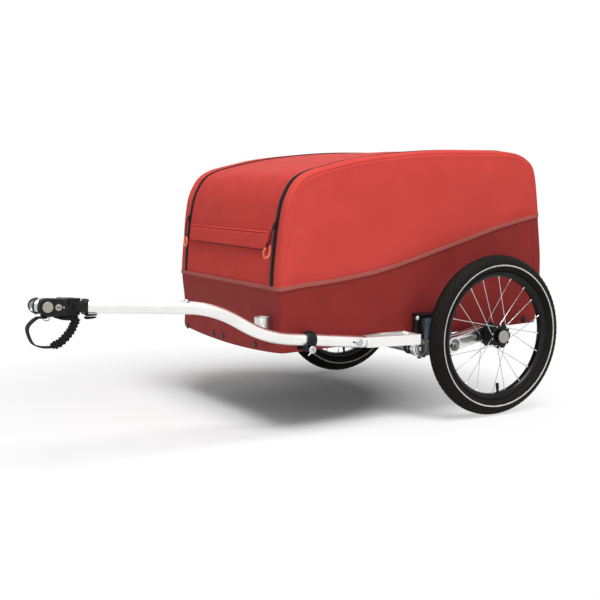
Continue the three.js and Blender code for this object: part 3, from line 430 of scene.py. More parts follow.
def feed(material, name, socket):
    """Joins a node's output to an input of the material's shader."""
    shader = material.node_tree.nodes["Principled BSDF"]
    material.node_tree.links.new(socket, shader.inputs[name])


def noise(material, place, scale, detail):
    """Cloudy noise from 0 to 1, with about scale clouds in a metre."""
    return node(material, "ShaderNodeTexNoise", {0: place, "Scale": scale,
                                                 "Detail": detail}).outputs[0]


def bands(material, place, period_mm, direction, distortion=0.0):
    """Bands from 0 to 1 this far apart. The texture repeats every 0.31416 / scale metres."""
    return node(material, "ShaderNodeTexWave", {0: place, "Scale": 0.31416 / (period_mm * MM),
                                                "Distortion": distortion},
                bands_direction=direction).outputs[1]


def paired(material, operation, first, second):
    """Two values made one: their sum, their product or the larger of them."""
    return node(material, "ShaderNodeMath", {0: first, 1: second}, operation=operation).outputs[0]


def ramp(material, factor, low, high, start=0.0, end=1.0):
    """A value that goes from start to end as the factor goes from low to high."""
    return node(material, "ShaderNodeMapRange", {0: factor, 1: low, 2: high, 3: start,
                                                 4: end}).outputs[0]


def two_inks(material, factor, dark, light, low=0.0, high=1.0):
    """A base colour that goes from dark to light as the factor goes from low to high."""
    mix = node(material, "ShaderNodeMix", {0: ramp(material, factor, low, high), 6: ink(dark),
                                           7: ink(light)}, data_type="RGBA")
    feed(material, "Base Color", mix.outputs[2])


def relief(material, height, strength, distance, under=None):
    """The shader's normal, tipped as if a height stood distance metres tall on the surface. Under
    it may lie another relief, given as its height, strength and distance."""
    inputs = {"Strength": strength, "Distance": distance, "Height": height}
    if under:
        inputs["Normal"] = relief(material, *under)
    bump = node(material, "ShaderNodeBump", inputs).outputs[0]
    feed(material, "Normal", bump)
    return bump


# %% [markdown]
# ### Cloth
#
# The box is coated polyester canvas: a plain weave about half a millimetre apart under a thin
# polyurethane skin. Real threads are finer than a pixel here, so the weave is drawn three times
# as coarse. The skin gives a soft sheen, and slack in the cloth gives slow changes of tone.

# %% Woven and coated cloth
def woven(name, dark, light, thread_mm=1.7, roughness=0.62, sheen=0.01):
    """Two sets of bands at right angles lift the threads, and two noises vary the tone."""
    material = finish(name, Roughness=roughness, IOR=1.46, Sheen_Weight=sheen,
                      Sheen_Roughness=0.45, Specular_IOR_Level=0.07)
    place = node(material, "ShaderNodeUVMap", uv_map="pattern").outputs[0]
    threads = paired(material, "MULTIPLY", bands(material, place, thread_mm, "X"),
                     bands(material, place, thread_mm, "Y"))
    slack = noise(material, place, 11.0, 2.0)
    tone = paired(material, "ADD", slack, noise(material, place, 420.0, 2.0))
    two_inks(material, paired(material, "ADD", tone, threads), dark, light, 0.6, 1.6)
    relief(material, threads, 0.35, 0.25 * MM, (slack, 0.25, 0.004))
    return material


def coated_back(name, dark, light):
    """The cloth's other side: a smooth polyurethane coat that shines a little more."""
    material = finish(name, Roughness=0.42, IOR=1.5)
    place = node(material, "ShaderNodeUVMap", uv_map="pattern").outputs[0]
    mottle = noise(material, place, 60.0, 3.0)
    two_inks(material, mottle, dark, light, 0.3, 0.7)
    relief(material, mottle, 0.2, 0.4 * MM)
    return material


red_canvas = woven("red_coated_canvas", "#BA3E38", "#CE4A43")
# The front cloth is the same canvas as red_coated_canvas with darker inks. This is painted shade for
# the lid and the flap, which face the front, where less light falls.
front_canvas_painted_darker = woven("red_canvas_with_painted_front_shade", "#B03631", "#C5433C")
dark_canvas = woven("dark_red_heavy_canvas", "#7F2B28", "#943431", thread_mm=2.2, roughness=0.55)
canvas_back = coated_back("grey_polyurethane_back", "#4A3B3A", "#57474A")
binding = woven("dusty_pink_binding_tape", "#97504A", "#AC5E57", thread_mm=1.4, roughness=0.7,
                sheen=0.05)
print("cloth finishes:", [m.name for m in (red_canvas, front_canvas_painted_darker, dark_canvas, binding)])


# %% Black webbing, zip tape, cord and thread
def ribbed(name, dark, light, rib_mm, roughness=0.75, depth_mm=0.3):
    """Woven narrow goods: one strong set of ribs across the tape, slightly uneven."""
    material = finish(name, Roughness=roughness, IOR=1.5, Sheen_Weight=0.03,
                      Specular_IOR_Level=0.15)
    place = node(material, "ShaderNodeUVMap", uv_map="pattern").outputs[0]
    ribs = bands(material, place, rib_mm, "X", 0.6)
    two_inks(material, ribs, dark, light)
    relief(material, ribs, 0.6, depth_mm * MM)
    return material


webbing = ribbed("black_polyester_webbing", "#0D0C0E", "#201F21", 2.2)
zip_tape = ribbed("black_zip_tape", "#0B0A0C", "#19181A", 1.6)
zip_coil = ribbed("nylon_zip_coil", "#0C0C0D", "#232325", 2.4, roughness=0.5, depth_mm=0.6)
black_cord = ribbed("braided_black_cord", "#131214", "#272628", 1.5)
red_thread = ribbed("red_sewing_thread", "#8E2F2A", "#B4443D", 1.0, roughness=0.6)
elastic = ribbed("gathered_black_elastic", "#0C0B0D", "#1F1E20", 1.8)

# %% [markdown]
# ### Metals
#
# The drawbar, arms and outrigger are satin aluminium: bright, and drawn or brushed so finely that
# reflections blur. The spokes and axles are stainless steel, and the bolts zinc-plated. Steel
# brackets wear a black powder coat, whose skin is faintly bumpy, like an orange's.


# %% Bare metals
def bare_metal(name, dark, light, roughness=(0.28, 0.4)):
    """Metal with fine lines along its length: noise stretched 40 times along X varies roughness
    and height, and a slow noise varies the tone like handling marks."""
    material = finish(name, Metallic=1.0)
    place = node(material, "ShaderNodeTexCoord").outputs["Object"]
    drawn = node(material, "ShaderNodeMapping", {0: place, "Scale": (1 / 40, 1.0, 1.0)}).outputs[0]
    lines = noise(material, drawn, 1 / (0.6 * MM), 2.0)
    marks = noise(material, place, 24.0, 3.0)
    two_inks(material, marks, dark, light, 0.3, 0.7)
    feed(material, "Roughness", ramp(material, paired(material, "MULTIPLY", lines, marks), 0.1, 0.45,
                                     *roughness))
    relief(material, lines, 0.3, 0.04 * MM)
    return material


satin_aluminium = bare_metal("satin_aluminium", "#EFEEEC", "#FAF9F7")
mill_aluminium = bare_metal("mill_finish_aluminium", "#C9CACB", "#DADADB", roughness=(0.35, 0.5))
stainless = bare_metal("stainless_steel", "#C3C4C6", "#D6D7D8", roughness=(0.18, 0.3))
zinc_steel = bare_metal("zinc_plated_steel", "#B4B7BB", "#CDD0D2", roughness=(0.25, 0.42))


# %% Black coats and plastics
def grained(name, dark, light, roughness, grain_mm, depth_mm, metallic=0.0, gloss=0.5):
    """A skin with fine grain: noise of the grain's size lifts it and varies its tone."""
    material = finish(name, Metallic=metallic, Roughness=roughness, IOR=1.5,
                      Specular_IOR_Level=gloss)
    place = node(material, "ShaderNodeTexCoord").outputs["Object"]
    grain = noise(material, place, 1 / (grain_mm * MM), 3.0)
    patches = noise(material, place, 35.0, 4.0)
    two_inks(material, paired(material, "ADD", grain, patches), dark, light, 0.7, 1.3)
    feed(material, "Roughness", ramp(material, patches, 0.3, 0.7, roughness - 0.07,
                                     roughness + 0.08))
    relief(material, grain, 0.5, depth_mm * MM)
    return material


powder_coat = grained("black_powder_coat", "#0E0E0F", "#19191B", 0.34, 1.2, 0.12, gloss=0.22)
glass_nylon = grained("black_glass_filled_nylon", "#101011", "#1B1B1D", 0.42, 0.8, 0.15, gloss=0.2)
black_anodised = grained("black_anodised_aluminium", "#121213", "#1E1E21", 0.3, 0.7, 0.03,
                         metallic=0.5, gloss=0.3)
tyre_rubber = grained("tyre_rubber", "#0C0B0A", "#1D1B19", 0.7, 1.6, 0.3, gloss=0.11)
stripe_film = grained("reflective_stripe", "#B9B6B0", "#D5D2CC", 0.35, 0.9, 0.05)
elastomer = grained("blue_grey_elastomer", "#3F4D59", "#526170", 0.6, 1.4, 0.15)
grey_button_paint = grained("grey_metallic_paint", "#948F86", "#ABA69C", 0.42, 0.6, 0.03,
                            metallic=0.35)
orange_sleeve = grained("orange_silicone_sleeve", "#CF5E40", "#E07A58", 0.45, 1.0, 0.05)
floor_board = grained("dark_polypropylene_board", "#2C2E33", "#3B3E43", 0.55, 2.0, 0.2, gloss=0.25)
snap_cap = grained("dark_snap_cap", "#161617", "#242425", 0.35, 0.8, 0.05, metallic=0.3, gloss=0.25)
print("materials so far:", len(bpy.data.materials))

# %% [markdown]
# ## Camera, light and floor
#
# The photograph was fitted with a pinhole camera, from the ellipses of the wheels and the corners
# of the box. The studio is a white room: an even white world, a large soft lamp high above, a weak
# one beside the camera, and a pale floor that keeps the shadow. Over the floor lies a painted white
# glow, seen only by the camera and in reflections. It grows from 0.36 m to 0.9 m from a point near
# the box, so the far floor turns white and the shadow's outer part is lightened.

# %% Camera at the photograph's place
AZIMUTH, PITCH = math.radians(149.33), math.radians(6.82)
camera_data = bpy.data.cameras.new("photo_camera")
camera_data.lens = 64.62
camera_data.sensor_width = 36.0
camera_data.clip_end = 100.0
camera = bpy.data.objects.new("photo_camera", camera_data)
bpy.context.scene.collection.objects.link(camera)
camera.location = metres([1765.0, 2382.0, 604.0])
camera.rotation_euler = (math.pi / 2 - PITCH, 0.0, AZIMUTH)
bpy.context.scene.camera = camera
print("camera at", [round(v, 3) for v in camera.location])


# %% White world and two lamps
def any_visible_ray(owner):
    """1 for rays from the camera, mirrored ones and ones seen through glass, 0 for the others."""
    rays = node(owner, "ShaderNodeLightPath").outputs
    seen = paired(owner, "MAXIMUM", rays["Is Camera Ray"], rays["Is Glossy Ray"])
    return paired(owner, "MAXIMUM", seen, rays["Is Transmission Ray"])


WHITE, WORLD_LIGHT = (1.0, 1.0, 1.0, 1.0), 0.34
world = bpy.data.worlds.new("white_room")
bpy.context.scene.world = world
world.use_nodes = True
background = world.node_tree.nodes["Background"]
background.inputs["Color"].default_value = WHITE
strength = ramp(world, any_visible_ray(world), 0.0, 1.0, WORLD_LIGHT, 1.0)
world.node_tree.links.new(strength, background.inputs["Strength"])


def lamp(name, place, aim, size, watts):
    """A square area lamp: it stands at place and looks at aim."""
    data = bpy.data.lights.new(name, "AREA")
    data.size = size
    data.energy = watts
    made = bpy.data.objects.new(name, data)
    bpy.context.scene.collection.objects.link(made)
    made.location = place
    direction = np.asarray(aim, float) - np.asarray(place, float)
    flat = math.hypot(direction[0], direction[1])
    made.rotation_euler = (math.atan2(flat, -direction[2]), 0.0,
                           math.atan2(direction[1], direction[0]) - math.pi / 2)


lamp("key_lamp", (0.45, 1.65, 4.15), (-0.3, 0.0, 0.3), 2.4, 186.0)
lamp("fill_lamp", (2.3, 2.9, 1.5), (0.0, 0.1, 0.25), 2.0, 11.0)

# %% The floor
ground = bpy.data.meshes.new("floor")
ground.from_pydata([(-40, -40, 0), (40, -40, 0), (40, 40, 0), (-40, 40, 0)], [], [(0, 1, 2, 3)])
floor_paint = finish("pale_studio_floor", Roughness=0.9, Base_Color=ink("#EEEEEE"),
                     Specular_IOR_Level=0.05)
# Painted light: a white glow, for camera rays and reflections alone, is mixed in by distance from a
# point 0.16 m from the model's origin towards the right side. There is none at 0.36 m and all of it at
# 0.9 m. It lightens the shadow's outer part and makes the far floor white.
spot = node(floor_paint, "ShaderNodeTexCoord").outputs["Object"]
from_box = node(floor_paint, "ShaderNodeMapping", {0: spot, "Location": (0.0, 0.16, 0.0)})
distance = node(floor_paint, "ShaderNodeVectorMath", {0: from_box.outputs[0]}, operation="LENGTH")
fade = ramp(floor_paint, distance.outputs["Value"], 0.36, 0.9)
painted_glow_seen = paired(floor_paint, "MULTIPLY", fade, any_visible_ray(floor_paint))
painted_glow = node(floor_paint, "ShaderNodeEmission", {"Color": WHITE, "Strength": 1.0})
nodes = floor_paint.node_tree.nodes
blended = node(floor_paint, "ShaderNodeMixShader", {0: painted_glow_seen, 1: nodes["Principled BSDF"].outputs[0],
                                                    2: painted_glow.outputs[0]})
floor_paint.node_tree.links.new(blended.outputs[0], nodes["Material Output"].inputs[0])
ground.materials.append(floor_paint)
floor = bpy.data.objects.new("floor", ground)
bpy.context.scene.collection.objects.link(floor)
bpy.context.scene.view_settings.view_transform = "Standard"

# %% [markdown]
# ## The cloth box
#
# Two bent tubes hold the cloth up, so its side view is one smooth outline. Across the box the
# outline is carried straight, and near each side it goes round a 14 mm edge. A point of the cloth
# is found from how far it lies along the outline and how far it lies across.

# %% The outline and the line between the two colours
LENGTH, REAR, BASE, HEIGHT, HALF, EDGE = 793.0, 223.0, 177.0, 477.0, 272.0, 14.0
ZIP, ZIP_HALF, LID_REAR = 232.0, 7.0, -110.0
outline_knots = np.array([
    [0.990, 0.002], [0.987, 0.168], [0.996, 0.342], [0.985, 0.558], [0.973, 0.679],
    [0.958, 0.767], [0.929, 0.845], [0.889, 0.887], [0.823, 0.916], [0.710, 0.954],
    [0.566, 0.983], [0.416, 0.998], [0.243, 1.000], [0.158, 0.996], [0.105, 0.971],
    [0.064, 0.922], [0.044, 0.855], [0.032, 0.753], [0.018, 0.635], [0.004, 0.509],
    [0.000, 0.394], [0.011, 0.237], [0.021, 0.065]])
band_knots = np.array([
    [0.016, 0.656], [0.179, 0.600], [0.303, 0.545], [0.460, 0.476], [0.612, 0.413],
    [0.721, 0.382], [0.826, 0.361], [0.929, 0.348], [0.985, 0.335]])
to_side = np.array([LENGTH, HEIGHT])
side_origin = np.array([-REAR, BASE])
tube_line = spline(outline_knots * to_side + side_origin, 1200)
# At the rear the cloth is slack and hangs up to 7 mm behind the tube's own line.
slack_knots = outline_knots.copy()
slack_knots[13:] = [[0.150, 0.998], [0.088, 0.980], [0.044, 0.934], [0.026, 0.866], [0.015, 0.753],
                    [0.006, 0.635], [-0.003, 0.509], [-0.008, 0.394], [-0.006, 0.237],
                    [0.010, 0.065]]
outline = spline(slack_knots * to_side + side_origin, 1200)
band_line = spline(band_knots * to_side + side_origin, 300)
FRONT_BAND, REAR_BAND = band_line[-1, 1], band_line[0, 1]
walked = distances(outline)
slope = unit(np.gradient(outline, axis=0))
for _ in range(30):
    slope[1:-1] = (slope[:-2] + 2 * slope[1:-1] + slope[2:]) / 4
slope = unit(slope)
outward = np.stack([slope[:, 1], -slope[:, 0]], 1)
half_way = len(outline) // 2
front_start = float(np.interp(FRONT_BAND, outline[:300, 1], walked[:300]))
rear_start = float(np.interp(-REAR_BAND, -outline[half_way:, 1], walked[half_way:]))
lid_start = float(np.interp(-LID_REAR, -outline[200:1000, 0], walked[200:1000]))
print("outline", round(walked[-1]), "mm long; cloth above the band from", round(front_start),
      "to", round(rear_start), "mm, lid ends at", round(lid_start))


def on_outline(s):
    """The outline's point and outward direction at distances s along it, both as (x, z)."""
    return read_off(s, walked, outline), unit(read_off(s, walked, outward))


def front_at(z):
    """How far forwards the outline's front stands at height z."""
    return np.interp(z, outline[:500, 1], outline[:500, 0])


def over(s, y, lift=0.0):
    """The box's surface at distance s along the outline and y across. Inside the edge radius it
    is the outline itself. Past it, with the edge's angle a: y = half - radius * (1 - sin a), and
    the outline draws in by radius * (1 - cos a). lift moves the point outwards."""
    point, normal = on_outline(s)
    bend = np.clip((np.abs(y) - (HALF - EDGE)) / EDGE, 0, 1)
    cosine = np.sqrt(1 - bend ** 2)
    inset = EDGE * (1 - cosine) - lift * cosine
    flat = point - normal * inset[..., None]
    return np.stack([flat[..., 0], y + np.sign(y) * bend * lift, flat[..., 1]], -1)


def ripple(x, z, seed=0.0):
    """Slack in the cloth: three long waves at different angles, about 1 mm high in all."""
    return (0.55 * np.sin(x / 47 + z / 95 + seed) + 0.35 * np.sin(x / 31 - z / 38 + 2 * seed)
            + 0.25 * np.sin(x / 19 + z / 61 - seed))


MIDDLE, CLOTH_WALL = np.array([170.0, 0.0, 400.0]), 2.0


def cloth(name, part, material, body, slot, replaces=(), width=None):
    """A sheet from a grid whose faces look outwards: its wall is added inwards, and its back
    gets the coated finish. Its area is printed. A width is worked out, by default its second
    longest reach, but nothing uses it."""
    part = looking_away(part, MIDDLE)
    made = piece(name, part, material, body, slot, replaces, closed=False, crease=60)
    made.data.materials.append(canvas_back)
    work = bmesh.new()
    work.from_mesh(made.data)
    area = sum(f.calc_area() for f in work.faces)
    work.free()
    thick = made.modifiers.new("wall", "SOLIDIFY")
    thick.thickness = CLOTH_WALL * MM
    thick.offset = -1.0
    thick.material_offset = 1
    thick.material_offset_rim = 0
    corners = np.array([v.co for v in made.data.vertices])
    span = np.sort(corners.max(0) - corners.min(0))
    width = width or float(span[1])
    print(name, "is", round(area, 3), "square metres of cloth")
    return made


# %% [markdown]
# ### Upper side panels
#
# A side panel starts at the zip, goes round the edge and then lies flat down to the band. Its
# grid follows the arch: each row runs from a place on the arch to a place on the band. A seam
# runs round just inside the arch, as a small ridge with a groove beside it.

# %% Upper side panels
def seam_ridge(distance):
    """A ridge 0.8 mm high where the two cloths overlap, and a groove of 1.3 mm beside it."""
    return 0.8 * np.exp(-(distance / 2.0) ** 2) - 1.3 * np.exp(-((distance - 4.0) / 1.4) ** 2)


def side_panel():
    """Rows: places along the arch. Columns: from the zip over the edge, then on straight lines
    point = (1 - t) * arch + t * band, lifted by the ripple. Over the tube's front corner and
    the roof the edge stands up to 5 mm higher, where the tube pushes it out."""
    s = np.linspace(front_start, rear_start, 260)
    near = ZIP + 0.3 + (ZIP_HALF - 0.3) * np.clip((lid_start - s) / 6 + 0.5, 0, 1)
    bend = np.linspace(0, math.pi / 2, 15)
    rim_y = np.concatenate([np.zeros(2), HALF - EDGE + EDGE * np.sin(bend)])
    rim_y = np.broadcast_to(rim_y, (len(s), len(rim_y))).copy()
    rim_y[:, 0] = near
    rim_y[:, 1] = (near + HALF - EDGE) / 2
    rim_lift = np.concatenate([[0, 0], seam_ridge(EDGE * (bend - math.pi / 2) + 10.0)])
    arch, normal = on_outline(s)
    corner = np.clip((arch[:, 0] - 120) / 240, 0, 1)
    roof = 0.5 * np.clip((arch[:, 0] + 112) / 80, 0, 1)
    corner = np.maximum(corner, roof) * np.clip((arch[:, 1] - 440) / 90, 0, 1)
    tube_lift = 5.0 * corner[:, None] * np.concatenate([[0, 0.75], np.cos(bend) ** 2])
    rim = over(np.broadcast_to(s[:, None], rim_y.shape), rim_y, rim_lift + tube_lift)
    arch = arch - normal * EDGE
    inside = np.clip((arch[:, 0] - band_line[0, 0]) / (band_line[-1, 0] - band_line[0, 0]), 0, 1)
    part_way = 1 - (s - s[0]) / (s[-1] - s[0])
    share = np.clip(0.55 * inside + 0.45 * part_way, 0, 1)
    foot = read_off(share * (len(band_line) - 1), np.arange(len(band_line)), band_line)
    foot[:, 0] = np.clip(foot[:, 0], arch[:, 0].min(), arch[:, 0].max())
    reach = np.linalg.norm(foot - arch, axis=1)
    steps = np.array([1.5, 3, 4.5, 6, 8, 11])
    t_near = steps[None] / np.maximum(reach[:, None], 12)
    t_near = np.minimum(t_near, np.linspace(0.05, 0.3, 6)[None])
    t_far = t_near[:, -1:] + (1 - t_near[:, -1:]) * np.linspace(0.06, 1, 22)[None]
    t = np.concatenate([t_near, t_far], 1)
    flat = (1 - t)[..., None] * arch[:, None] + t[..., None] * foot[:, None]
    along = t * reach[:, None]
    fade = np.clip(along / 45, 0, 1) * np.clip((reach[:, None] - along) / 30, 0, 1)
    fade = fade * fade * (3 - 2 * fade)
    y = HALF + fade * (2.2 + ripple(flat[..., 0], flat[..., 1])) + seam_ridge(along + 10.0)
    sheet = np.stack([flat[..., 0], y, flat[..., 1]], -1)
    points = np.concatenate([rim, sheet], 1)
    edge_run = np.concatenate([-EDGE * math.pi / 2 - (HALF - EDGE - rim_y[:, :2]),
                               np.broadcast_to(EDGE * (bend - math.pi / 2), (len(s), 15))], 1)
    out = arch[:, None] - normal[:, None] * edge_run[..., None]
    pattern = np.concatenate([out, flat], 1) * MM
    return grid(points, pattern=pattern)


both_sides("@_upper_side_cloth", side_panel(), red_canvas, "trailer", "upper_fabric",
           ["@_upper_side_panel"], make=cloth)

# %% [markdown]
# ### Lid, rear strip and lower panels
#
# The lid is the strip between the zips, over the front and half the roof. Its rear edge is its
# hinge. Behind it the same cloth goes on as a strip down the rear. The lower panels are one ring
# of heavy cloth, cut at four seams: at each height the box is a rectangle with rounded corners,
# and the cloth runs between the band above and the hem below.

# %% Lid and upper rear strip
def strip(s_from, s_to, half, rows, rise=0.0):
    """The outline carried across: rows go along it and columns from one side to the other.
    Slack lifts it a little, and its side edges, where it is sewn to a tape, stand 0.8 mm high.
    At the lid's hinge it dips 3.2 mm to the seam that it turns about."""
    close = lid_start + np.array([-18, -14, -11, -8.5, -6.5, -5, -3.5, 3.5, 5, 6.5, 8.5, 11, 14, 18])
    s = np.unique(np.clip(np.concatenate([np.linspace(s_from, s_to, rows), close]), s_from, s_to))
    y = np.concatenate([[-half, -half + 1.5, -half + 4, -half + 8],
                        np.linspace(-half + 16, half - 16, 44),
                        [half - 8, half - 4, half - 1.5, half]])
    s, y = np.meshgrid(s, y, indexing="ij")
    slack = ripple(y, 2 * s, 1.3) * np.clip((half - np.abs(y)) / 40, 0, 1)
    ends = np.clip((s - s_from) / 40, 0, 1) * np.clip((s_to - s) / 40, 0, 1)
    crown = rise * (1 - (y / half) ** 2)
    edge = 0.8 * np.exp(-((half - np.abs(y)) / 3.0) ** 2)
    dip = 3.2 * np.exp(-((s - lid_start) / 6.5) ** 2)
    lift = (slack + crown) * ends + edge - dip
    return grid(over(s, y, lift), pattern=np.stack([s, y], -1) * MM)


cloth("lid_cloth", strip(front_start + 4, lid_start - 1.0, ZIP - ZIP_HALF - 0.3, 150, rise=1.0),
      front_canvas_painted_darker, "lid", "front_fabric", ["lid"], width=2 * (ZIP - ZIP_HALF - 0.3) * MM)
cloth("upper_rear_cloth", strip(lid_start + 1.6, rear_start, ZIP - 0.3, 80), red_canvas,
      "trailer", "upper_fabric", ["upper_rear_panel"], width=2 * (ZIP - 0.3) * MM)


# %% Lower panels
FRONT_CORNER, RING_HALF = 548.0, 1700.0


def ring_at(w, z):
    """A level section of the box, walked from the middle of the front (w = 0) over the left side
    to the middle of the rear (w = 1): a rectangle with corners of the edge radius. w is shared
    out by length, and a front or rear face is found from the outline at that height."""
    front = np.interp(z, outline[:260, 1], outline[:260, 0])
    rear = np.interp(z, outline[::-1][:260, 1], outline[::-1][:260, 0])
    flat = HALF - EDGE
    turn = EDGE * math.pi / 2
    straight = FRONT_CORNER - EDGE + REAR
    d = w * (2 * flat + 2 * turn + straight)
    a = np.clip((d - flat) / turn, 0, 1) * math.pi / 2
    b = np.clip((d - flat - turn - straight) / turn, 0, 1) * math.pi / 2
    middle = np.clip((d - flat - turn) / straight, 0, 1)
    last = np.clip(d - flat - 2 * turn - straight, 0, None)
    x = front - EDGE * (1 - np.cos(a))
    x = x - middle * (front - rear - 2 * EDGE) - EDGE * np.sin(b)
    y = np.minimum(d, flat) + EDGE * np.sin(a) - EDGE * (1 - np.cos(b)) - last
    across = np.stack([np.cos(a) - np.sin(b), np.sin(a) * np.cos(b), np.zeros_like(a)], -1)
    return np.stack([x, y, z], -1), across


def band_height(w):
    """The band's middle height round the box: level across the front and rear, and along the
    side as high as the drawn line at the same x."""
    z = np.full_like(w, FRONT_BAND)
    for _ in range(3):
        point = ring_at(w, z)[0]
        z = np.interp(point[..., 0], band_line[:, 0], band_line[:, 1])
        z = np.where(point[..., 1] < HALF - EDGE, np.where(w < 0.5, FRONT_BAND, REAR_BAND), z)
    return z


HEM_FRONT, HEM_REAR = 189, 208


def hem_height(w):
    """The hem falls evenly from rear to front, and has a belly across the front."""
    point = ring_at(w, np.full_like(w, 200.0))[0]
    z = HEM_REAR + (HEM_FRONT - HEM_REAR) * (point[..., 0] + REAR) / LENGTH
    belly = 12 * np.clip(1 - (point[..., 1] / (HALF - 2)) ** 2, 0, 1)
    return z - np.where(w < 0.5, belly, 0)


def seam_at(x):
    """The place on the ring where its side reaches x."""
    w = np.linspace(0, 1, 4001)
    point = ring_at(w, np.full_like(w, 230.0))[0]
    return float(w[np.argmin(np.abs(point[:, 0] - x) + 1000 * (point[:, 1] < HALF - EDGE))])


def lower(w_from, w_to, columns, mirror=False):
    """Rows go down from band to hem, columns along the ring. The hem is folded: a ridge at 0.905
    of the way down, and past 0.93 the cloth is drawn in by 1.5 mm."""
    w = np.linspace(w_from, w_to, columns)
    if mirror:
        w = np.concatenate([-w[:0:-1], w])
    t = np.concatenate([np.linspace(0, 0.86, 26), [0.89, 0.905, 0.92, 0.95, 0.98, 1.0]])
    t, w = np.meshgrid(t, w, indexing="ij")
    sign = np.where(w < 0, -1.0, 1.0)
    top, bottom = band_height(np.abs(w)), hem_height(np.abs(w))
    z = top + (bottom - top) * t
    point, across = ring_at(np.abs(w), z)
    soft = np.clip(t / 0.12, 0, 1) * np.clip((0.95 - t) / 0.15, 0, 1)
    slack = soft * 0.5 * (ripple(point[..., 0] * 0.8 + point[..., 1], z * 1.1, 2.1) - 0.9)
    fold = 0.5 * np.exp(-((t - 0.905) / 0.012) ** 2) - 1.5 * np.clip((t - 0.93) / 0.07, 0, 1)
    point = point + across * (slack + fold - 0.4)[..., None]
    point[..., 1] *= sign
    return grid(point, pattern=np.stack([w * RING_HALF, z], -1) * MM)


front_seam, rear_seam = seam_at(FRONT_CORNER), seam_at(-REAR + 34)
cloth("lower_front_cloth", lower(0, front_seam, 60, mirror=True), dark_canvas, "trailer",
      "lower_fabric", ["lower_front_panel"])
both_sides("@_lower_side_cloth", lower(front_seam, rear_seam, 110), dark_canvas, "trailer",
           "lower_fabric", ["@_lower_side_panel"], make=cloth)
rear_half = looking_away(lower(rear_seam, 1.0, 44), MIDDLE)
cloth("lower_rear_cloth", joined([rear_half, mirrored(rear_half)]), dark_canvas, "trailer",
      "lower_fabric", ["lower_rear_panel"])

# %% [markdown]
# ### Binding, zips and stitches
#
# A woven binding covers the seam between the two colours all the way round. The zips are coil
# zips on black tape. Stitches are tiny loops of thread: one small capsule is made once and its
# points are moved to every stitch with one matrix each, so thousands cost little.

# %% Binding
def band_ring():
    """The band's line right round the box, with the direction out of the cloth at each point."""
    w = np.linspace(0, 1, 420)
    return [np.concatenate([half, half[-2:0:-1] * [1, -1, 1]]) for half in ring_at(w, band_height(w))]


def ribbon(path, out, ring, wrap=False, grow=None):
    """A ring of (across, out) offsets carried along a path that lies on a surface: the way out
    is given at each point, and the way across is out x tangent."""
    across = np.cross(out, ahead(path, wrap))
    return sweep(path, ring * [1, -1], across, grow, wrap)


band_path, band_out = band_ring()
band_shape = round_box(10.4, 2.2, 1.0, 3) + [0, 0.4]
piece("trim_binding", ribbon(band_path, band_out, band_shape, wrap=True), binding, "trailer",
      "band", ["trim_band"])

# %% Zips
def zip_path(side, lift=0.0, count=420):
    """The zip's middle line on the box, from the band up to the lid's rear edge."""
    s = np.linspace(front_start + 5, lid_start - 1, count)
    out = read_off(s, walked, outward)
    return (over(s, np.full_like(s, side * ZIP), np.full_like(s, lift)),
            np.stack([out[:, 0], 0 * s, out[:, 1]], -1))


tape_shape = round_box(13.6, 2.2, 0.9, 3) + [0, 0.9]
coil_turn = np.linspace(0, 2 * math.pi, 12, endpoint=False)
for side, sign in (("left", 1), ("right", -1)):
    line, out = zip_path(sign)
    piece(side + "_zip_tape", ribbon(line, out, tape_shape), zip_tape, "trailer", "web",
          [side + "_zip"])
    line, out = zip_path(sign, 2.0, count=1500)
    swell = 1 + 0.16 * np.sin(np.arange(len(line)) * 2 * math.pi / 4)
    swell[[0, -1]] = 0
    shape = np.stack([3.2 * np.cos(coil_turn), 1.2 * np.sin(coil_turn)], 1)
    piece(side + "_zip_coil", ribbon(line, out, shape, grow=swell), zip_coil, "trailer", "web")


# %% Stitches
def copies(shape, frames, places):
    """A small solid at many places: its points times each place's three directions, moved there.
    shape is a grid, frames is (n, 3, 3) with the directions as rows, places is (n, 3)."""
    points, faces, pattern = shape
    moved = np.einsum("pk,nkj->npj", points, frames) + places[:, None]
    step = np.arange(len(places))[:, None, None] * len(points)
    return (moved.reshape(-1, 3), (faces[None] + step).reshape(-1, faces.shape[1]),
            np.tile(pattern, (len(places), 1, 1)))


STITCH_LONG, STITCH_STEP = 3.6, 4.6


def thread_loop():
    """One stitch along X: an arch of thread, thick in the middle and sunk at both ends."""
    t = np.linspace(0, 1, 5)
    path = np.stack([(t - 0.5) * STITCH_LONG, 0 * t, 0.275 * np.sin(math.pi * t) - 0.15], 1)
    return sweep(path, circle(0.42, 5), grow=[0, 0.8, 1, 0.8, 0])


def stitched(name, lines, material, body, slot):
    """A row of stitches along each (path, out) line, one every STITCH_STEP millimetres."""
    places, frames = [], []
    for path, out in lines:
        run = distances(path)
        at = np.arange(STITCH_STEP / 2, run[-1], STITCH_STEP)
        tangent = unit(read_off(at + 1.5, run, path) - read_off(at - 1.5, run, path))
        side = unit(np.cross(read_off(at, run, out), tangent))
        places.append(read_off(at, run, path))
        frames.append(np.stack([tangent, side, np.cross(tangent, side)], 1))
    places, frames = np.concatenate(places), np.concatenate(frames)
    print(name, "has", len(places), "stitches")
    return piece(name, copies(thread_loop(), frames, places), material, body, slot)


def along_band(offset, lift=0.0):
    """A line beside the band, offset up or down the cloth."""
    across = np.cross(band_out, unit(ahead(band_path, True)))
    return band_path + across * offset + band_out * lift, band_out


stitched("binding_stitches", [along_band(3.6, 1.35), along_band(-3.6, 1.35)], red_thread,
         "trailer", "band")

# %% [markdown]
# ### Handle flap
#
# Under the lid's seam hangs a padded flap, the handle that folds the box. It is sewn along its
# top, and its lower corners are round. It is a flat pad with a round rim, and a thin black rod in
# the webbing finish runs along its lower edge, which stands off the face. Front and back are two
# grids over one outline, so they close.

# %% Handle flap
FLAP_TOP, FLAP_LOW, FLAP_HALF, FLAP_CORNER = 466.0, 424.2, 206.0, 16.0


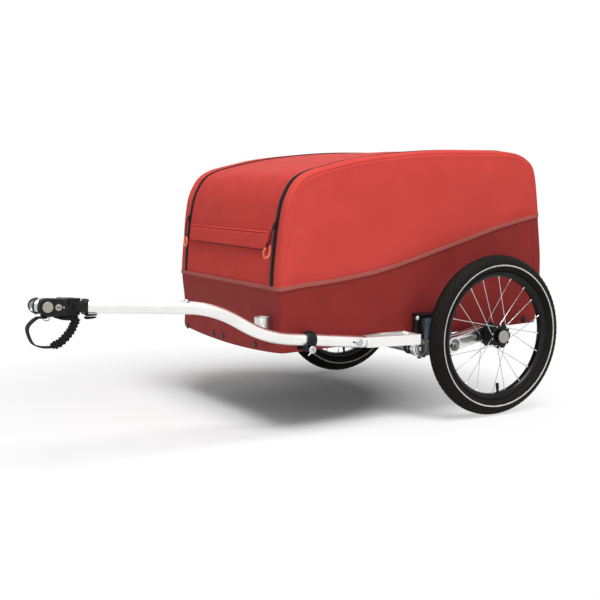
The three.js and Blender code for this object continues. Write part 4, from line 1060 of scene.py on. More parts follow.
def flap_sheet(front):
    """u runs across (-1 to 1), v down (0 to 1). The half width shrinks at the lower corners like
    a circle. The front stands 5 to 7 mm high and falls to its edge along a quarter circle, with a
    stitched groove 5 mm below the top. The pad stands off the face by 0.9 + 4.6 * v^2."""
    u = np.sin(np.linspace(-math.pi / 2, math.pi / 2, 110))
    v = (1 - np.cos(np.linspace(0, math.pi, 41))) / 2
    u, v = np.meshgrid(u, v, indexing="ij")
    z = FLAP_TOP + (FLAP_LOW - FLAP_TOP) * v
    low = np.clip((z - FLAP_LOW) / FLAP_CORNER, 0, 1)
    half = FLAP_HALF - FLAP_CORNER * (1 - np.sqrt(1 - (1 - low) ** 2))
    y = u * half
    x = front_at(z)
    edge = np.clip(np.minimum((1 - np.abs(u)) * half, z - FLAP_LOW) / 4.5, 0, 1)
    edge = np.minimum(edge, np.clip((FLAP_TOP - z) / 3.0, 0, 1))
    round_edge = np.sqrt(edge * (2 - edge))
    high = 5.2 + 1.8 * np.sin(math.pi * v ** 0.7) + 0.3 * np.sin(y / 13) * np.sin(math.pi * v)
    groove = 2.6 * np.exp(-((z - FLAP_TOP + 5.0) / 1.3) ** 2)
    stand_off = 0.9 + 4.6 * v ** 2
    x = x + stand_off + (round_edge * (high - groove) if front else 0 * y)
    return grid(np.stack([x, y, z], -1), pattern=np.stack([y, z], -1) * MM)


flap_front = flap_sheet(True)
flap = piece("handle_flap_cloth", [flap_front, flap_sheet(False)], front_canvas_painted_darker,
             "handle_flap", "front_fabric", ["handle_flap"], crease=70)
# A black rod, 3 mm thick in the webbing finish, runs along the flap's lower edge and round its corners.
# It sits 0.3 mm below the edge and 4.4 mm out from the face.
rim_angle = np.linspace(0, math.pi / 2, 10)
corner_y = FLAP_HALF - FLAP_CORNER + FLAP_CORNER * np.sin(rim_angle)
corner_z = FLAP_CORNER * (1 - np.cos(rim_angle))
edge_y = np.concatenate([-corner_y[::-1], corner_y])
edge_z = FLAP_LOW - 0.3 + np.concatenate([corner_z[::-1], corner_z])
edge_x = front_at(edge_z) + 4.4
flap_edge = np.stack([edge_x, edge_y, edge_z], 1)
piece("flap_lower_edge_black_rod", capped(flap_edge, circle(1.5, 10), 1.5, binormal=(1, 0, 0), edge=0.6),
      webbing, "handle_flap", "web")
seam_row = flap_front[0].reshape(110, 41, 3)[4:-4, 9]
flap_out = np.broadcast_to([0.985, 0.0, 0.17], seam_row.shape)
stitched("flap_stitches", [(seam_row + [0.2, 0, 0], flap_out)], red_thread, "handle_flap",
         "front_fabric")

# %% [markdown]
# ### Sliders and cord pulls
#
# Each zip ends in a black die-cast slider with a loop of cord. A silicone sleeve holds the
# loop's two strands apart at the bottom, where the hand takes it.

# %% Sliders and pulls
FACE_LEAN = math.atan2(0.16557, 0.98620)
SLIDER_X, SLIDER_Z, PULL_TOP = 556.4, 480.6, 481.3
pull_knots = np.array([[0, 0], [0.14, -0.25], [0.26, -0.48], [0.72, -0.68], [0.93, -0.8],
                       [0.86, -0.93], [0.5, -1], [0.14, -0.94], [0.0, -0.82], [0.02, -0.66],
                       [0.06, -0.45], [0.02, -0.22], [0, -0.08]]) * [21, 75]


def slider(y):
    """A slider's body: a rounded box that narrows to its tail, width = 8 - 2.4 * (1 - t)^2, with
    the bridge as a low arch on top. It is made a third larger and leans with the front face."""
    t = np.linspace(0, 1, 9)
    path = np.stack([0 * t, 0 * t, -7 + 14 * t], 1)
    grow = np.stack([1 - 0.3 * (1 - t) ** 2, 1 + 0 * t], 1)
    grow[[0, -1]] = 0
    body = sweep(path, round_box(8, 4.2, 1.6, 3), grow=grow)
    turn = np.linspace(0, math.pi, 11)
    arch = np.stack([1.8 + 2.6 * np.sin(turn), 0 * turn, 5 * np.cos(turn)], 1)
    bridge = capped(arch, round_box(2.6, 1.3, 0.5, 2), 0.65, edge=0.3)
    points, faces, pattern = joined([body, bridge])
    points = points * [1.0, 1.3, 1.35]
    x = points[:, 0] * math.cos(FACE_LEAN) - points[:, 2] * math.sin(FACE_LEAN)
    z = points[:, 0] * math.sin(FACE_LEAN) + points[:, 2] * math.cos(FACE_LEAN)
    return np.stack([x + SLIDER_X, points[:, 1] + y, z + SLIDER_Z], 1), faces, pattern


def pull(y, out, across):
    """The loop's line: from the slider down, round a wide U and back up, along the face and clear
    of it. Its width is turned out of the face by out and along the face by across."""
    line = spline(pull_knots, 60)
    aside = 1.4 * np.sin(2 * math.pi * np.linspace(0, 1, 60))
    z = PULL_TOP + line[:, 1]
    hanging = np.clip(-line[:, 1] / 30, 0, 1)
    clear = 8.4 + 0.6 * hanging
    inwards = line[:, 0] - 4.0 * hanging
    return np.stack([front_at(z) + clear + out * line[:, 0] + (1 - out) * aside,
                     y + across * inwards + out * aside, z], 1)


for side, sign, out, across in (("left", 1, 0.86, 0.0), ("right", -1, 0.1, 1.15)):
    piece(side + "_zip_slider", slider(sign * ZIP), powder_coat, side + "_slider",
          "black_plastic", [side + "_slider"])
    loop = pull(sign * ZIP, out, across)
    piece(side + "_pull_cord", capped(loop, circle(1.2, 10), 1.2, edge=0.5), black_cord,
          side + "_pull", "web", [side + "_pull"])
    piece(side + "_pull_sleeve", capped(loop[20:45], circle(2.5, 14), 2.5, edge=0.8),
          orange_sleeve, side + "_pull", "pull")

# %% Snaps on the lower panels
def snap(place, out, radius=7.6):
    """A press stud's cap: a shallow dome with a rolled edge, as an outline of (radius, along)."""
    outline = [(0, 1.9), (radius * 0.45, 1.8), (radius * 0.68, 1.5), (radius * 0.74, 1.1),
               (radius * 0.82, 1.5), (radius * 0.95, 1.4), (radius, 0.8), (radius, -0.6), (0, -0.6)]
    return turned(outline, place, out, 24)


def on_panel(x, y, z):
    """The nearest place on the lower ring to a measured point, and the way out there."""
    w = np.linspace(0, 0.5 if x > 300 else 1.0, 1500)
    point, across = ring_at(w, np.full_like(w, z))
    gap = np.abs(point[:, 1] - abs(y)) + (np.abs(point[:, 0] - x) if x < 300 else 0)
    k = int(np.argmin(gap))
    sign = 1.0 if y >= 0 else -1.0
    return point[k] * [1, sign, 1], across[k] * [1, sign, 1]


caps = []
for spot in [(560, -240, 191), (560, -84, 191), (560, -29, 192), (560, 143, 194),
             (-168, 272, 217), (-168, -272, 217)]:
    place, out = on_panel(*spot)
    caps.append(snap(place - 0.2 * out, out))
piece("lower_panel_snaps", caps, snap_cap, "trailer", "black_plastic")

# %% [markdown]
# ## Wheels
#
# The tyres are turned outlines with a tread pressed into them: the tread's depth is a function
# of the place round the wheel and across the section. Twenty spokes run tangentially from black
# flanges to a deep black rim, each with a nipple at the rim and a head at the flange.

# %% Tyres
WHEEL = np.array([0.0, 353.0, 200.0])
tyre_knots = np.array([
    [154.2, -8.5], [155.6, -10.2], [159.5, -11.0], [164, -16.2], [169.5, -21], [176.5, -23.3],
    [184, -22.4], [190.5, -18.6], [195.4, -13], [198.6, -6.6], [199.8, 0], [198.6, 6.6],
    [195.4, 13], [190.5, 18.6], [184, 22.4], [176.5, 23.3], [169.5, 21], [164, 16.2],
    [159.5, 11.0], [155.6, 10.2], [154.2, 8.5]])


LUGS = 84


def tyre():
    """Section point = knots' spline. The tread is cut 1.5 mm deep by slanted grooves, one to each
    lug, and three run 1 mm deep round the wheel, all on the outer part alone."""
    turns = 6 * LUGS
    section = spline(tyre_knots, 64)
    way = unit(np.gradient(section, axis=0))
    out = np.stack([way[:, 1], -way[:, 0]], 1)
    angle = np.arange(turns) * 2 * math.pi / turns
    a, r = np.meshgrid(angle, section[:, 0], indexing="ij")
    y = np.broadcast_to(section[:, 1], r.shape)
    slant = LUGS * a / (2 * math.pi) + np.abs(y) / 11.0
    cut = np.exp(-((slant % 1 - 0.5) / 0.16) ** 2)
    shoulder = np.clip((r - 179.6) / 4, 0, 1)
    rings = (np.exp(-((np.abs(y) - 5.5) / 1.1) ** 2) + np.exp(-(y / 1.0) ** 2))
    depth = shoulder * (1.5 * cut * np.clip(np.abs(y) / 4 - 0.4, 0, 1) + 1.0 * rings)
    fine = 0.22 * (np.exp(-((r - 178.6) / 0.8) ** 2) + np.exp(-((r - 171.2) / 0.8) ** 2))
    radial = r + out[None, :, 0] * (fine - depth)
    side = y + out[None, :, 1] * (fine - depth)
    points = np.stack([radial * np.cos(a), side, radial * np.sin(a)], -1) + WHEEL
    return grid(points, wrap_rows=True, wrap_columns=True)


both_sides("@_tyre_tread", tyre(), tyre_rubber, "@_wheel", "tyre", ["@_tyre"])


def stripe(side):
    """A thin flat ring on a sidewall, 0.35 mm proud of the rubber."""
    outline = [(173.2, side * 22.4), (173.7, side * 22.98), (175.0, side * 23.44),
               (176.2, side * 23.6), (176.6, side * 23.3), (175, side * 22.6)]
    return turned(outline, WHEEL, count=120)


both_sides("@_tyre_stripes", [stripe(1), stripe(-1)], stripe_film, "@_wheel", "tyre")

# %% Rims
rim_corners = [(145.7, 0), (146.0, 6.2), (150.5, 11.6), (157.6, 12.8), (158.6, 12.0), (157.6, 11.0),
               (154.0, 10.4), (152.5, 4), (152.5, -4), (154.0, -10.4), (157.6, -11.0),
               (158.6, -12.0), (157.6, -12.8), (150.5, -11.6), (146.0, -6.2), (145.7, 0)]
both_sides("@_rim_ring", lathe(rim_corners, 1.2, WHEEL, count=144), black_anodised, "@_wheel",
           "wheel_black", ["@_rim"])


# %% Hubs with scalloped flanges
def hub():
    """An outline turned round the axle. Past 22 mm the flange's radius dips ten times, in full
    from 29 mm on: r * (1 - 0.07 * (1 - cos(10 * angle)) / 2)."""
    half = [(8.3, 26.3), (14.2, 26.3), (15.0, 25.4), (15.3, 24.4), (22, 24.0), (29.8, 24.0),
            (31.0, 23.2), (31.0, 20.8), (29.8, 20.0), (21, 20.0), (17.5, 18.5), (15.4, 14.5),
            (14.2, 8), (13.8, 0)]
    outline = np.array(half + [(r, -y) for r, y in half[-2::-1]])
    angle = np.arange(120) * 2 * math.pi / 120
    a, r = np.meshgrid(angle, outline[:, 0], indexing="ij")
    y = np.broadcast_to(outline[:, 1], r.shape)
    r = r * (1 - np.clip((r - 22) / 7, 0, 1) * 0.07 * (1 - np.cos(10 * a)) / 2)
    points = np.stack([r * np.cos(a), y, r * np.sin(a)], -1) + WHEEL
    return grid(points, wrap_rows=True, wrap_columns=True)


both_sides("@_hub_shell", hub(), black_anodised, "@_wheel", "wheel_black", ["@_hub"])


# %% Spokes, nipples, heads and valve
def about_wheel(radius, degrees, y):
    """A point of the wheel from its radius, its angle and its distance from the wheel plane."""
    a = math.radians(degrees)
    return WHEEL + [radius * math.cos(a), y, radius * math.sin(a)]


def spokes():
    """Spoke k starts at the rim at k * 18 + 2.4 degrees and ends at the flange 42 degrees before
    or after. Sides alternate, and each side's spokes lean forwards and back in turn."""
    wires, ends = [], []
    for k in range(20):
        side = 1 if k % 2 else -1
        turn = k * 18 + 2.4
        lean = 42 if k % 4 < 2 else -42
        rim = about_wheel(147.0, turn, side * 3)
        flange = about_wheel(27.4, turn + lean, side * 20.0)
        through = about_wheel(27.0, turn + lean, side * 24.6)
        line = softened([rim, flange, through], 3.0, 3)
        direction = unit(rim - flange)
        wires.append(capped(line, circle(0.85, 7), 0.85, np.cross(direction, [0.3, 1, 0.2]), 0.3))
        nipple = [(0, -9), (1.4, -9), (1.7, -8.5), (1.7, -3), (2.5, -2), (2.5, 1), (0, 1)]
        ends.append(turned(nipple, rim, direction, 10))
        head = [(0, 1.3), (1.3, 1.1), (2.1, 0.3), (2.1, -0.5), (0, -0.5)]
        ends.append(turned(head, about_wheel(27.0, turn + lean, side * 24.0), (0, side, 0), 12))
    return wires + ends


both_sides("@_spokes", spokes(), stainless, "@_wheel", "steel")
valve_foot = about_wheel(147, -95.5, 0)
valve_way = about_wheel(0, 0, 0) - valve_foot
valve_outline = [(0, -2), (5.2, -2), (5.2, 1.2), (3.3, 1.6), (3.3, 10), (4.1, 10.4), (4.1, 12),
                 (3.9, 12.4), (4.1, 12.8), (4.1, 22.4), (3.4, 24), (0, 24.4)]
both_sides("@_valve", turned(valve_outline, valve_foot, valve_way, 18), glass_nylon,
           "@_wheel", "black_plastic")

# %% Axles and release buttons
cup_corners = [(8.2, 26.6), (17.4, 26.6), (17.4, 33.1), (15.8, 33.1), (15.7, 29.2), (5.4, 29.2),
               (5.3, 26.6), (8.2, 26.6)]
both_sides("@_axle_cup", lathe(cup_corners, 0.6, WHEEL, count=64), black_anodised, "@_arm",
           "wheel_black", ["@_axle"])
shaft_corners = [(0, -75.2), (12, -75.2), (12, -69.3), (8, -69.3), (8, -34.7), (12, -34.7),
                 (12, -26.8), (8, -26.8), (8, 26.4), (5.6, 26.4), (5.6, 15), (0, 15)]
both_sides("@_axle_shaft", lathe(shaft_corners, 0.8, WHEEL, count=32), stainless, "@_arm", "steel")
button_corners = [(0, 18), (5, 18), (5, 32.0), (15.4, 32.0), (15.4, 35.2), (14.4, 36.0), (6, 36.1),
                  (0, 36.1)]
both_sides("@_release_cap", lathe(button_corners, 0.5, WHEEL, count=64), grey_button_paint,
           "@_release", "button_grey", ["@_release_button"])
print("wheel pieces made")

# %% [markdown]
# ## Swing arms, pads and brackets
#
# Each arm is a cast aluminium plate that turns about the cross tube. Behind the pivot it carries
# a block of elastomer, which a black steel bracket holds from above. When the wheel rises, the
# arm squeezes the block. Here each block gets a mesh of its own, whose shape stays as drawn.

# %% Swing arms
PIVOT = np.array([203.0, 177.0])
PIVOT_AXIS = [PIVOT[0], 0, PIVOT[1]]
ARM_FACE = 317.8
arm_line = np.concatenate([arc(PIVOT, 19, -90, 90), [[100, 196]],
                           arc([0, 200], 17, 90, 270), [[100, 161]]])
slot_line = np.concatenate([arc([78, 188.4], 4.3, -97, 83, 8), arc([32, 193.6], 4.3, 83, 263, 8)])
arm_holes = [circle(14.3, 40, PIVOT), circle(15.2, 40, [100, 179]), slot_line,
             circle(8.3, 30, [0, 200])]
arm = plate("left_arm_plate", [arm_line] + arm_holes, 300.0, ARM_FACE, edge=1.6)
rib_line = np.concatenate([[[168, 194], [166, 196], [100, 196]], arc([0, 200], 17, 90, 270),
                           [[100, 161], [150, 160]]])
rib = plate("left_arm_rib", [rib_line] + arm_holes[1:], 284.2, 300.6, edge=1.6)
both_sides("@_arm_casting", arm, satin_aluminium, "@_arm", "frame_silver", ["@_swing_arm"])
both_sides("@_arm_inner_rib", rib, satin_aluminium, "@_arm", "frame_silver")


def eye(centre, inner, outer, proud):
    """A raised ring round a hole in the arm's outer face, with rounded edges."""
    foot = ARM_FACE - 2
    corners = [(inner, foot), (inner, ARM_FACE + proud), (outer, ARM_FACE + proud),
               (outer + 1.2, ARM_FACE), (outer + 1.2, foot), (inner, foot)]
    return lathe(corners, 0.7, [centre[0], 0, centre[1]], count=64)


both_sides("@_arm_rings", [eye(PIVOT, 14.5, 17.6, 1.1), eye([100, 179], 15.4, 18.9, 5.0),
                           eye([0, 200], 8.5, 12.2, 0.4)], satin_aluminium, "@_arm", "frame_silver")


def cap_screw(place, out, radius=4.2, high=4.5, socket=2.2):
    """A socket head screw: a cylinder with a rounded rim and a deep round-bottomed socket."""
    corners = [(0, high - 2.4), (socket, high - 2.4), (socket, high), (radius, high),
               (radius, -1.0), (0, -1.0)]
    return lathe(corners, 0.5, place, out, 24)


both_sides("@_arm_pinch_screws", [cap_screw([199, 309, 159.0], (0, 0, -1), 5.0, 6.4, 2.6),
                                  cap_screw([186, 309, 160.6], (0, 0, -1), 5.0, 6.4, 2.6)],
           powder_coat, "@_arm", "black_plastic")
tube_cap = lathe([(0, 319.8), (12.6, 319.8), (13.8, 318.8), (13.8, 316), (0, 316)], 0.6, PIVOT_AXIS)
both_sides("@_arm_set_screw", cap_screw([126, 317.6, 186], (0, 1, 0), 2.4, 0.8, 1.3),
           powder_coat, "@_arm", "black_plastic")

# %% Elastomer pads
def stacked(ring, centre, z, scale):
    """Level rings one above another at heights z, each scaled in x and y. The ends are points."""
    scale[[0, -1]] = 0
    x = centre[0] + ring[None, :, 0] * scale[:, :1]
    y = centre[1] + ring[None, :, 1] * scale[:, 1:]
    return grid(np.stack([x, y, np.broadcast_to(z[:, None], x.shape)], -1), wrap_columns=True)


PAD_X, PAD_Y, PAD_FOOT, PAD_HIGH, PAD_ANCHOR = 144, 297.6, 196.5, 54.6, 251.3


def pad():
    """A block whose four sides draw in at mid height: side = flat side - 4 * sin(pi * t) in x
    and 1.4 * sin(pi * t) in y, with corners of 5 mm and edges of 2 mm. t runs up the block."""
    t = np.concatenate([[0, 0, 0.012, 0.04], np.linspace(0.1, 0.9, 17), [0.96, 0.988, 1, 1]])
    waist = np.sin(math.pi * t)
    edge = np.array([0, 1.8, 0.6, 0.1] + [0] * 17 + [0.1, 0.6, 1.8, 0])
    scale = np.stack([1 - (4 * waist + edge) / 43.7, 1 - (1.4 * waist + edge) / 18.6], 1)
    return stacked(round_box(87.4, 37.2, 5, 6), (PAD_X, PAD_Y), PAD_FOOT + PAD_HIGH * t, scale)


pads = both_sides("@_suspension_pad", pad(), elastomer, "trailer", "pad", ["@_pad"])
for made, joint, sign in zip(pads, ("left_suspension", "right_suspension"), (1, -1)):
    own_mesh(made)

# %% Brackets
bracket_line = np.array([[92, 222.6], [92, 259.6], [190, 259.6], [191, 240], [197, 200]])
bracket_line = np.concatenate([bracket_line, arc(PIVOT, 17.6, 70, -180, 24), [[184, 222.6]]])
side_plate = plate("left_bracket_plate", [bracket_line, circle(14.3, 40, PIVOT)], 272.3, 278.3,
                   edge=0.9)


def box(low, high, radius=1.2, steps=2):
    """A block with rounded edges: a rounded rectangle in x and y, carried from bottom to top
    with its ends drawn in along a quarter circle."""
    low, high = np.asarray(low, float), np.asarray(high, float)
    turn = np.linspace(0, math.pi / 2, steps + 1)
    inset = radius * (1 - np.sin(turn))
    rise = radius * (1 - np.cos(turn))
    size = high - low
    z = low[2] + np.concatenate([[0], rise, size[2] - rise[::-1], [size[2]]])
    less = np.concatenate([[0], inset, inset[::-1], [0]])[:, None]
    ring = round_box(size[0], size[1], radius * 1.5, 3)
    return stacked(ring, (low + high) / 2, z, 1 - 2 * less / size[:2])


both_sides("@_bracket_side", side_plate, powder_coat, "trailer", "bracket_black",
           ["@_pad_bracket"])
lower_eye = lathe([(14.3, 290), (17.6, 290), (17.6, 299.4), (14.3, 299.4), (14.3, 290)], 0.8,
                  PIVOT_AXIS, count=56)
both_sides("@_bracket_shelf", [box([92, 277.6, 251.6], [200, 316.6, 259.6]),
                               box([196, 309, 246.0], [217, 316.4, 260.0], 2.0), lower_eye],
           powder_coat, "trailer", "bracket_black")
gusset_line = np.array([[198, 259], [216.6, 259], [217, 256], [217, 203], [214, 199.6],
                        [191, 199.6], [189.6, 201], [191.5, 216], [197, 236], [198.5, 250]])
gusset = plate("left_gusset", [gusset_line], 309.6, 316.4, edge=0.9)
both_sides("@_bracket_gusset", gusset, powder_coat, "trailer", "bracket_black")


def dome_bolt(place, out, radius=5.0, high=3.4):
    """A round-headed bolt: height = high * sqrt(1 - (r / radius)^2), over a thin washer."""
    r = np.linspace(0, radius, 8)
    dome = np.stack([r, high * np.sqrt(1 - (r / radius) ** 2) + 0.6], 1)
    outline = np.concatenate([dome, [(radius * 1.35, 0.6), (radius * 1.35, -0.6), (0, -0.6)]])
    return turned(outline, place, out, 28)


both_sides("@_bracket_bolts", [dome_bolt([210.4, 316.4, 252.6], (0, 1, 0)),
                               dome_bolt([112, 316.6, 255.6], (0, 1, 0), 2.6, 1.6)],
           zinc_steel, "trailer", "steel")
both_sides("@_cross_tube_caps", [tube_cap, dome_bolt([PIVOT[0], 319.8, PIVOT[1]], (0, 1, 0), 4.4, 2.2)],
           zinc_steel, "trailer", "steel")

# %% [markdown]
# ## Outrigger, drawbar and clamp
#
# The outrigger is a loop of flat aluminium bar, open above and below, and its narrow nose holds
# the drawbar's rear end. The drawbar is one bent tube. A black ring clamps it to the frame, and
# a spring pin locks it in the outrigger.

# %% Outrigger
def lying(points):
    """A plate drawn in (x, z) and laid flat: its z becomes y, its thickness becomes height."""
    return points[:, [0, 2, 1]]


outer_loop = softened(np.array([[230, 272.4], [296, 272.4], [356, 286.5], [356, 317.5],
                                [216, 342.3], [216, 272.4], [230, 272.4]]), 5, 5)[:-1]
inner_loop = softened(np.array([[232, 276.4], [294, 276.4], [352, 290.5], [352, 313.5],
                                [220, 337.4], [220, 276.4], [232, 276.4]]), 7, 5)[:-1]
loop = plate("outrigger_loop", [outer_loop, inner_loop], 192.5, 217.5, edge=0.7, place=lying)
piece("outrigger_bar", loop, satin_aluminium, "trailer", "frame_silver", ["outrigger"])
DRAWBAR_Y, LOW_SLOPE, TOP_SLOPE = 302.0, math.radians(6.3037), math.radians(4.3590)
low_way = np.array([math.cos(LOW_SLOPE), 0, math.sin(LOW_SLOPE)])
nose = np.array([354.0, DRAWBAR_Y, 204.6])
spigot = lathe([(0, -1), (13.2, -1), (13.2, 3.4), (11.7, 3.8), (11.7, 50), (10, 52), (0, 52)], 1,
               nose, low_way, 40)
inner_screw = dome_bolt([221.6, 300, 210.5], (1, 0, 0), 3.6, 2.2)
piece("outrigger_fittings", [spigot, inner_screw], zinc_steel, "trailer", "steel")

# %% Drawbar
REAR_END, FRONT_END = (358.0, 205.0), (1035.0, 332.3)
drawbar_corners = [REAR_END, (616.0, 233.5), (749.0, 310.5), FRONT_END]


def in_plane(line, y):
    """A line of (x, z) points set upright in the plane at y."""
    return np.stack([line[:, 0], np.full(len(line), y), line[:, 1]], 1)


drawbar_line = in_plane(even(softened(drawbar_corners, 62, 13), 90), DRAWBAR_Y)
piece("drawbar_tube", capped(drawbar_line, circle(14, 40), 14, edge=0.9), satin_aluminium,
      "trailer", "frame_silver", ["drawbar"])
top_screw = dome_bolt([813, DRAWBAR_Y, 329.0], (-0.076, 0, 0.997), 6.0, 4.4)
piece("drawbar_top_screw", top_screw, zinc_steel, "trailer", "steel")

# %% Clamp and its knob
CLAMP = np.array([508.0, DRAWBAR_Y, 221.57])
low_up = np.array([-math.sin(LOW_SLOPE), 0, math.cos(LOW_SLOPE)])


def tipped(points, way, up, origin):
    """Points (x, y, z) of a shape drawn along X, set down as x * way + y * Y + z * up + origin."""
    return points @ np.array([way, [0, 1, 0], up]) + origin


def at_clamp(*parts):
    """Shapes made along X, tipped by the lower run's slope and set down at the clamp."""
    points, faces, pattern = joined(parts)
    return tipped(points, low_way, low_up, CLAMP), faces, pattern


clamp_ring = lathe([(14.2, -11.8), (18.2, -12), (19.4, -9.5), (19.5, 0), (19.4, 9.5), (18.2, 12),
                    (14.2, 11.8), (14.2, 0), (14.2, -11.8)], 1.0, [0, 0, 0], (1, 0, 0), 56)
lug = box([-11.5, -29.4, -26], [11.5, 16.6, -14.4], 2.0)
foot = box([-12, -29.4, -25.8], [12, -25.4, 4.2], 1.0)
web_block = box([-11, -27, -16], [11, -6, 2], 2.0)
boss = lathe([(0, 17), (4.6, 17), (4.6, 21.6), (3.2, 22.8), (0, 23)], 1, [0, 0, 0], (0, 0, 1), 24)
piece("clamp_ring", at_clamp(clamp_ring, lug, foot, web_block), glass_nylon, "trailer",
      "black_plastic", ["drawbar_clamp"])
piece("clamp_top_bolt", at_clamp(boss), powder_coat, "trailer", "black_plastic")
knob_centre = CLAMP - 20 * low_up
knob = lathe([(0, 20.2), (1.9, 20.2), (1.9, 23.2), (7.6, 23.2), (8.9, 22), (8.9, 18), (8.2, 17.4),
              (3, 17.4), (3, -13.8), (0, -13.8)], 0.6, knob_centre, count=40)
lever_line = knob_centre + np.array([[0, 20.4, 0], [5, 20.6, -5.5], [9.5, 21.6, -9.5],
                                     [12.4, 21.8, -11.5]])
lever = capped(even(lever_line, 12), round_box(4.4, 2.6, 1.1, 3), 1.3, (0, 1, 0), 0.5)
piece("clamp_knob_turned", [knob, lever], zinc_steel, "clamp_knob", "steel", ["clamp_knob"])
dot = turned([(0, 20.9), (1.7, 20.8), (1.7, 19.0), (0, 19.0)], knob_centre, count=16)
piece("clamp_knob_pivot", dot, powder_coat, "clamp_knob", "black_plastic")

# %% Locking pin
pin_centre = np.array([REAR_END[0], 0, REAR_END[1]]) + 22 * low_way
pin_corners = [(0, 321.6), (6.6, 321.6), (8.9, 320.4), (8.9, 316.8), (4, 316.4), (4, 285),
               (2.6, 284), (0, 284)]
piece("locking_pin_turned", lathe(pin_corners, 0.8, pin_centre, count=36), zinc_steel,
      "locking_pin", "steel", ["locking_pin"])
spring_knob = snap(pin_centre + [14, DRAWBAR_Y + 13.6, 1.6], (-0.1, 0.99, 0), 2.4)
piece("drawbar_button_spring", spring_knob, powder_coat, "trailer", "black_plastic")

# %% Front socket
socket_corners = [(13.7, 225.0), (17.8, 225.0), (17.8, 269.9), (13.7, 269.9), (13.7, 225.0)]
socket_tube = lathe(socket_corners, 0.5, [582.0, 215.0, 0.0], (0, 0, 1), 56)
socket_lug = box([550.3, 205.2, 219.2], [568.2, 224.8, 233.8], 1.0)
piece("front_socket_tube", socket_tube, mill_aluminium, "trailer", "frame_silver",
      ["front_socket"])
piece("front_socket_lug", socket_lug, powder_coat, "trailer", "bracket_black")
print("running gear and drawbar made")

# %% [markdown]
# ## Hitch
#
# The hitch stands on the drawbar's end, tipped with its upper run, so its pieces are drawn along
# their own axis and then set down there. A knuckle and a swivel block let it pitch and turn. The
# black housing carries a bright socket tube, a release button and a key lock.

# %% The hitch's own axes
BUTTON_X, LOCK_X = 87, 65
HITCH = np.array([FRONT_END[0], DRAWBAR_Y, FRONT_END[1]])
top_way = np.array([math.cos(TOP_SLOPE), 0, math.sin(TOP_SLOPE)])
top_up = np.array([-math.sin(TOP_SLOPE), 0, math.cos(TOP_SLOPE)])


def tipped_points(points):
    """Points drawn along the hitch's axis, set down at the drawbar's end."""
    return tipped(points, top_way, top_up, HITCH)


def at_hitch(*parts):
    """Grids drawn along the hitch's axis, set down at the drawbar's end as one."""
    points, faces, pattern = joined(parts)
    return tipped_points(points), faces, pattern


# %% Knuckle and swivel block
cheek_line = np.concatenate([[[1.2, -9.6]], arc([22, 0], 9, -90, 90, 16), [[1.2, 9.6]]])
hole = circle(3.3, 20, [22, 0])
for name, low, high in (("knuckle_cheek_outer", 11.0, 16.0), ("knuckle_cheek_inner", -16.0, -11.0)):
    piece(name, plate(name, [cheek_line, hole], low, high, edge=0.8, place=tipped_points),
          glass_nylon, "trailer", "black_plastic")
plug = lathe([(0, -30), (9, -30), (11.6, -27), (11.6, 2), (0, 2)], 1, [0, 0, 0], (1, 0, 0), 32)


def collar():
    """A ring round the drawbar's end, seated like a saddle: its rear edge stands at
    x = 0.6 - 5.4 * sin(angle)^2, so it is short at the sides and long above and below."""
    turn = np.linspace(0, 2 * math.pi, 56, endpoint=False)
    rear = 0.6 - 5.4 * np.sin(turn) ** 2
    outline = softened([(0, 0.3), (13.9, 0.3), (13.9, 0.0), (15.2, 0.0), (16.2, 0.5), (16.2, 1.0),
                        (14.8, 1.0), (0, 1.0)], 0.5, 2)
    share = outline[None, :, 1]
    x = rear[:, None] * (1 - share) + 7.2 * share
    x = np.where(outline[None, :, 0] < 13.8, 0.4 + 6.8 * np.round(share), x)
    y = outline[None, :, 0] * np.cos(turn)[:, None]
    z = outline[None, :, 0] * np.sin(turn)[:, None]
    return grid(np.stack([x, y, z], -1), wrap_rows=True)


piece("knuckle_body", at_hitch(collar(), plug), glass_nylon, "trailer", "black_plastic",
      ["drawbar_knuckle"])
pin_ends = [dome_bolt([22, 16 * sign, 0], (0, sign, 0), 3.2, 1.2) for sign in (1, -1)]
piece("knuckle_pin_ends", at_hitch(*pin_ends), powder_coat, "trailer", "black_plastic")
swivel_line = np.concatenate([arc([22, 0], 13.8, 122, 238, 16), softened(
    [[15, -11.7], [39.4, -11.7], [39.4, 11.7], [15, 11.7]], 4, 4)])
piece("swivel_casting", plate("swivel_drum", [swivel_line], -10.4, 10.4, edge=1.0,
                              place=tipped_points), powder_coat, "hitch_swivel",
      "black_plastic", ["swivel_block"])

# %% Housing
jaw_line = np.concatenate([arc([22.5, 0], 10, 90, 270, 20), [[50, -10], [50, 10]]])


def flat_at_hitch(points):
    """A plate laid flat first, then set down on the hitch."""
    return tipped_points(lying(points))


for name, low, high in (("hitch_jaw_top", 12.0, 17.0), ("hitch_jaw_low", -17.0, -12.0)):
    piece(name, plate(name, [jaw_line, hole], low, high, edge=0.9, place=flat_at_hitch),
          glass_nylon, "hitch_head", "black_plastic")
web_part = box([44, -16.8, -16.8], [58, 22, 16.8], 2.4, 3)
near_line = np.concatenate([arc([61, 0], 17, 90, 270, 24), arc([88, 0], 17, -90, 90, 24)])
near_plate = plate("hitch_side_plate", [near_line, circle(11.3, 48, [BUTTON_X, 0]),
                                        circle(7.3, 32, [LOCK_X, 0])], 21.0, 26.0, edge=1.1,
                   place=tipped_points)
piece("hitch_side_cover", near_plate, glass_nylon, "hitch_head", "black_plastic")


